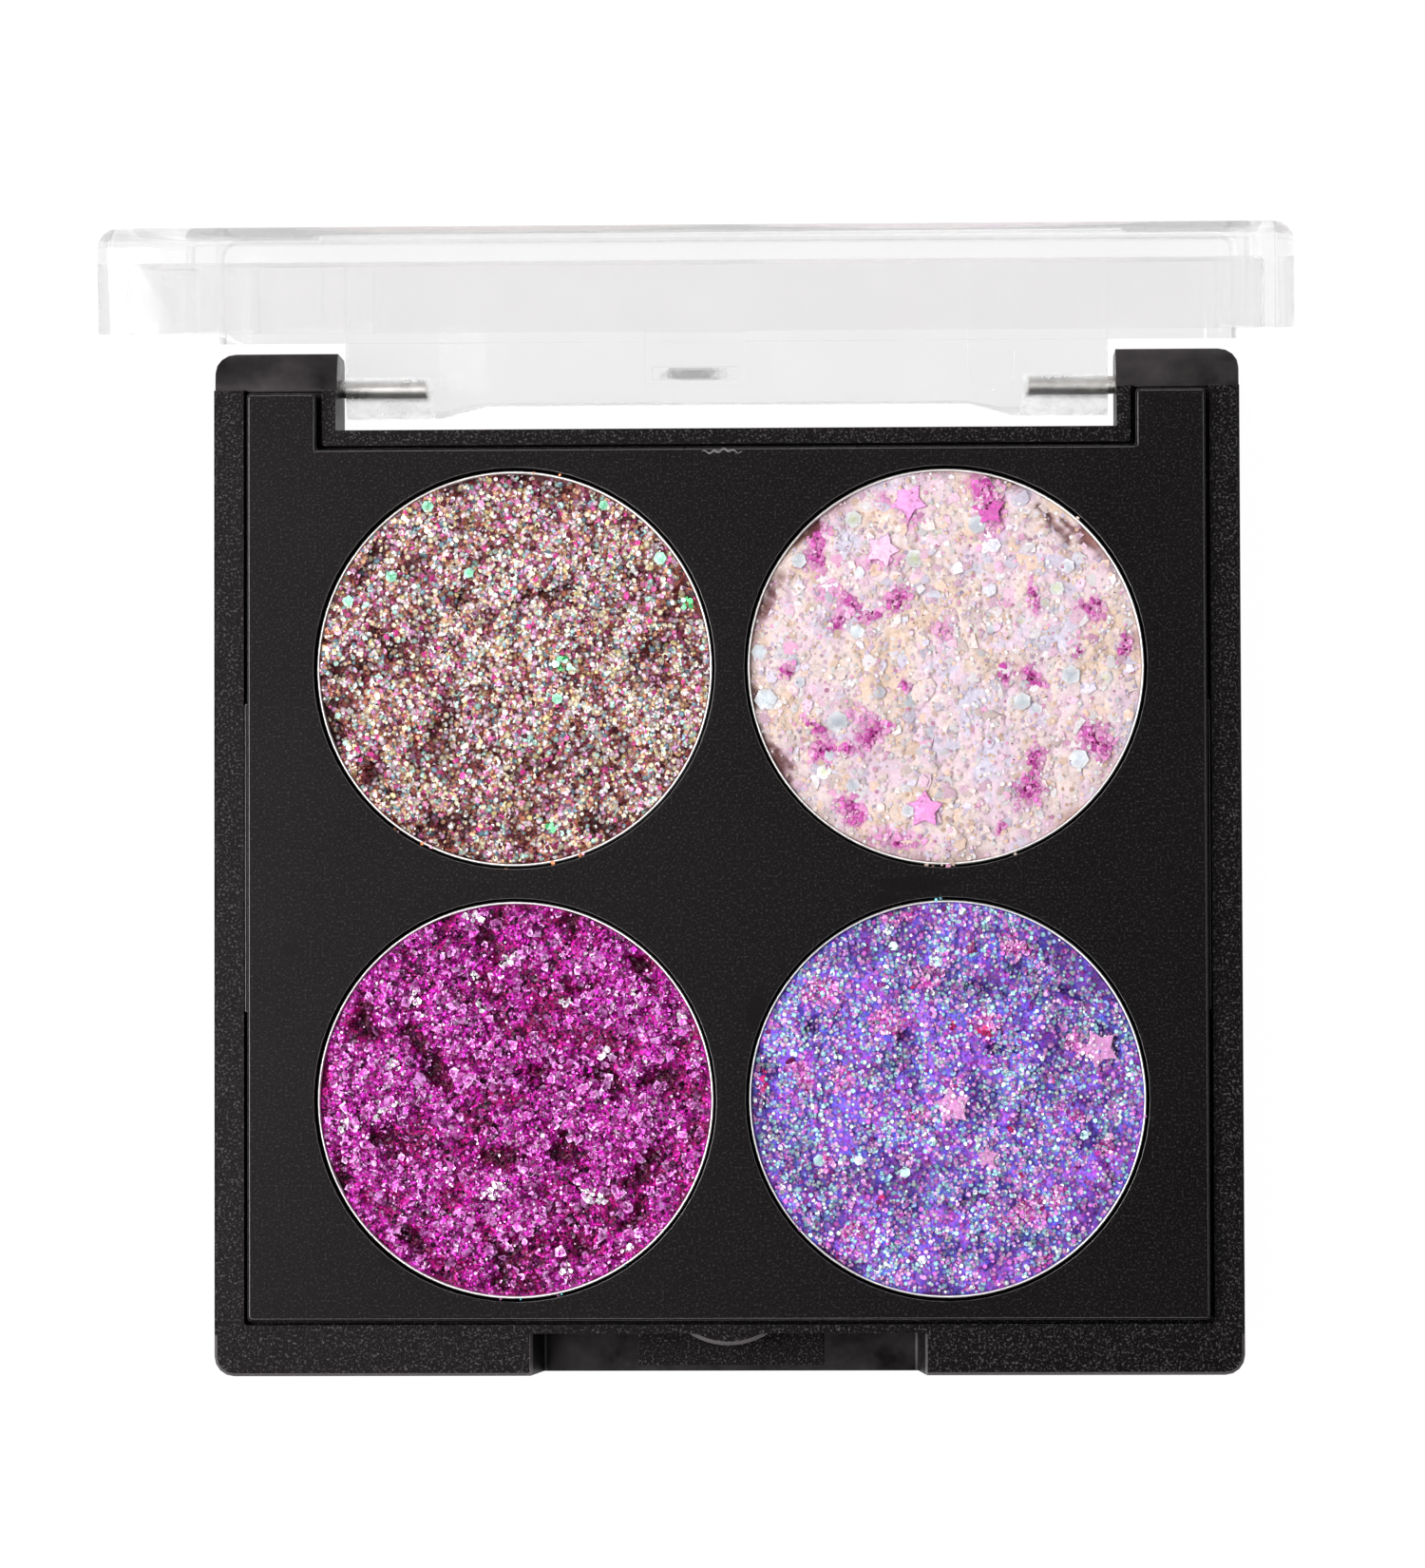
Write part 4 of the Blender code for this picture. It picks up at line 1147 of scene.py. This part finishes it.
def dress(node, material, edge_mm=None, edge_material=None):
    """Gives a CAD node its finish, soft edges and smooth round walls, without moving any of its points."""
    obj = frame["nodes"][node]
    obj.data.materials.clear()
    obj.data.materials.append(material)
    for polygon in obj.data.polygons:
        polygon.material_index = 0
    weld = obj.modifiers.new("weld", "WELD")
    weld.merge_threshold = 1e-6
    if edge_mm:
        bevel = obj.modifiers.new("edges", "BEVEL")
        bevel.width = edge_mm * MM
        bevel.segments = 2
        bevel.limit_method = "ANGLE"
        bevel.angle_limit = math.radians(EDGE_ANGLE)
        bevel.use_clamp_overlap = True
        if edge_material:
            obj.data.materials.append(edge_material)
            bevel.material = 1
    for polygon in obj.data.polygons:
        polygon.use_smooth = True
    if "custom_normal" in obj.data.attributes:
        obj.data.attributes.remove(obj.data.attributes["custom_normal"])
    split = obj.modifiers.new("split", "EDGE_SPLIT")
    split.split_angle = math.radians(EDGE_ANGLE)
    flat = obj.modifiers.new("flat", "WEIGHTED_NORMAL")
    flat.weight = 100


def gate_scar():
    """The wavy stub left where the tray's mould was filled, lying along its back edge."""
    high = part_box("pan_tray")[1] / MM
    middle = TRAY_MIDDLE_BACK - SCAR_FROM_EDGE
    points = []
    for i in range(SCAR_STEPS + 1):
        part = i / SCAR_STEPS
        x = SCAR_W * (part - 0.5) + SCAR_OFF_CENTRE
        y = middle + SCAR_SWING * math.sin(9.0 * part) * math.cos(17.0 * part)
        thick = SCAR_THICK * (0.35 + 0.65 * math.sin(math.pi * part))
        points += [(x, y - thick, high.z), (x, y, high.z + 0.6 * thick), (x, y + thick, high.z)]
    faces = []
    for i in range(SCAR_STEPS):
        a, b = 3 * i, 3 * i + 3
        faces += [(a, b, b + 1, a + 1), (a + 1, b + 1, b + 2, a + 2), (a + 2, b + 2, b, a)]
    end = 3 * SCAR_STEPS
    faces += [(0, 1, 2), (end + 2, end + 1, end)]
    make_piece("gate_scar", points, faces, edge_plastic("tray_black_scar", 0.16))


def dress_frame():
    gate_scar()
    # The pale edge material paints a highlight along the bevels of the case and the tray.
    dress("base_case", case_plastic(), CASE_EDGE, edge_plastic("case_black_edge", 0.34))
    dress("pan_tray", tray_plastic(), TRAY_EDGE, edge_plastic("tray_black_edge", 0.08))
    metal = pan_metal()
    glue = glue_resin()
    for corner in CORNERS:
        make_pan(corner, metal)
        dress(f"glue_{corner}", glue)
    steel = pin_metal()
    dress("hinge_pin_left", steel)
    dress("hinge_pin_right", steel)
    dress("lid", clear_plastic(), LID_EDGE)


# ---------------------------------------------------------------- studio


def make_floor():
    """A white table that reads as pure white and keeps only a faint shadow."""
    mesh = bpy.data.meshes.new("table_top")
    half = TABLE_HALF * MM
    corners = [(-half, -half, 0), (half, -half, 0), (half, half, 0), (-half, half, 0)]
    mesh.from_pydata(corners, [], [(0, 1, 2, 3)])
    obj = bpy.data.objects.new("table_top", mesh)
    bpy.context.scene.collection.objects.link(obj)
    obj.location.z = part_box("base_case")[0].z - TABLE_DROP * MM
    g = Graph("table_white")
    g.set(Base_Color=(0.04, 0.04, 0.04), Roughness=0.9, Specular_IOR_Level=0.0)
    g.set(Emission_Color=(1.0, 1.0, 1.0), Emission_Strength=0.98)
    mesh.materials.append(g.material)


def make_world():
    """White to the camera, straight or through the clear lid, and dimmer to everything else."""
    world = bpy.data.worlds.new("studio")
    world.use_nodes = True
    tree = world.node_tree

    def combine(operation, first, second):
        node = tree.nodes.new("ShaderNodeMath")
        node.operation = operation
        tree.links.new(first, node.inputs[0])
        if isinstance(second, float):
            node.inputs[1].default_value = second
        else:
            tree.links.new(second, node.inputs[1])
        return node.outputs[0]

    path = tree.nodes.new("ShaderNodeLightPath").outputs
    unscattered = combine("LESS_THAN", path["Diffuse Depth"], 0.5)
    passed = combine("MULTIPLY", path["Transmission Depth"], unscattered)
    either = combine("MAXIMUM", path["Is Camera Ray"], passed)
    seen = tree.nodes.new("ShaderNodeMapRange")
    seen.inputs["To Min"].default_value = WORLD_DIM
    seen.inputs["To Max"].default_value = 1.0
    tree.links.new(either, seen.inputs["Value"])
    back = tree.nodes["Background"]
    back.inputs["Color"].default_value = (1.0, 1.0, 1.0, 1.0)
    tree.links.new(seen.outputs["Result"], back.inputs["Strength"])
    bpy.context.scene.world = world


def make_light(name, at, size, watts):
    """A soft box at a place in metres, aimed at the palette. It doesn't show through the lid."""
    data = bpy.data.lights.new(name, "AREA")
    data.shape = "RECTANGLE"
    data.size, data.size_y = size
    data.energy = watts
    obj = bpy.data.objects.new(name, data)
    obj.location = at
    aim = Vector((0.0, 0.0, 0.01)) - Vector(at)
    obj.rotation_euler = aim.to_track_quat("-Z", "Y").to_euler()
    obj.visible_transmission = False
    bpy.context.scene.collection.objects.link(obj)


def make_lights():
    make_light("softbox_left", (-0.17, 0.0, 0.30), (0.16, 0.24), 1.7)
    make_light("softbox_back", (-0.06, 0.36, 0.30), (0.70, 0.34), 1.2)
    make_light("softbox_right", (0.40, 0.06, 0.34), (0.16, 0.16), 0.1)
    make_light("strip_front", (-0.30, -0.33, 0.31), (0.24, 0.10), 1.25)


def make_camera():
    data = bpy.data.cameras.new("camera")
    data.sensor_fit = "VERTICAL"
    data.sensor_height = CAMERA_SENSOR
    data.lens = CAMERA_LENS
    data.clip_start = 0.01
    data.clip_end = 20.0
    obj = bpy.data.objects.new("camera", data)
    obj.location = Vector(CAMERA_AT) * MM
    obj.rotation_euler = [math.radians(v) for v in CAMERA_TURN_DEG]
    bpy.context.scene.collection.objects.link(obj)
    bpy.context.scene.camera = obj


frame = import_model()
for leftover in [o for o in bpy.data.objects if o.name in ("Cube", "Light", "Camera")]:
    bpy.data.objects.remove(leftover, do_unlink=True)
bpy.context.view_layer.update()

bpy.context.scene.view_settings.view_transform = "Standard"
make_camera()
make_world()
make_lights()
make_floor()
dress_frame()
bronze_cake()
blush_cake()
magenta_cake()
violet_cake()
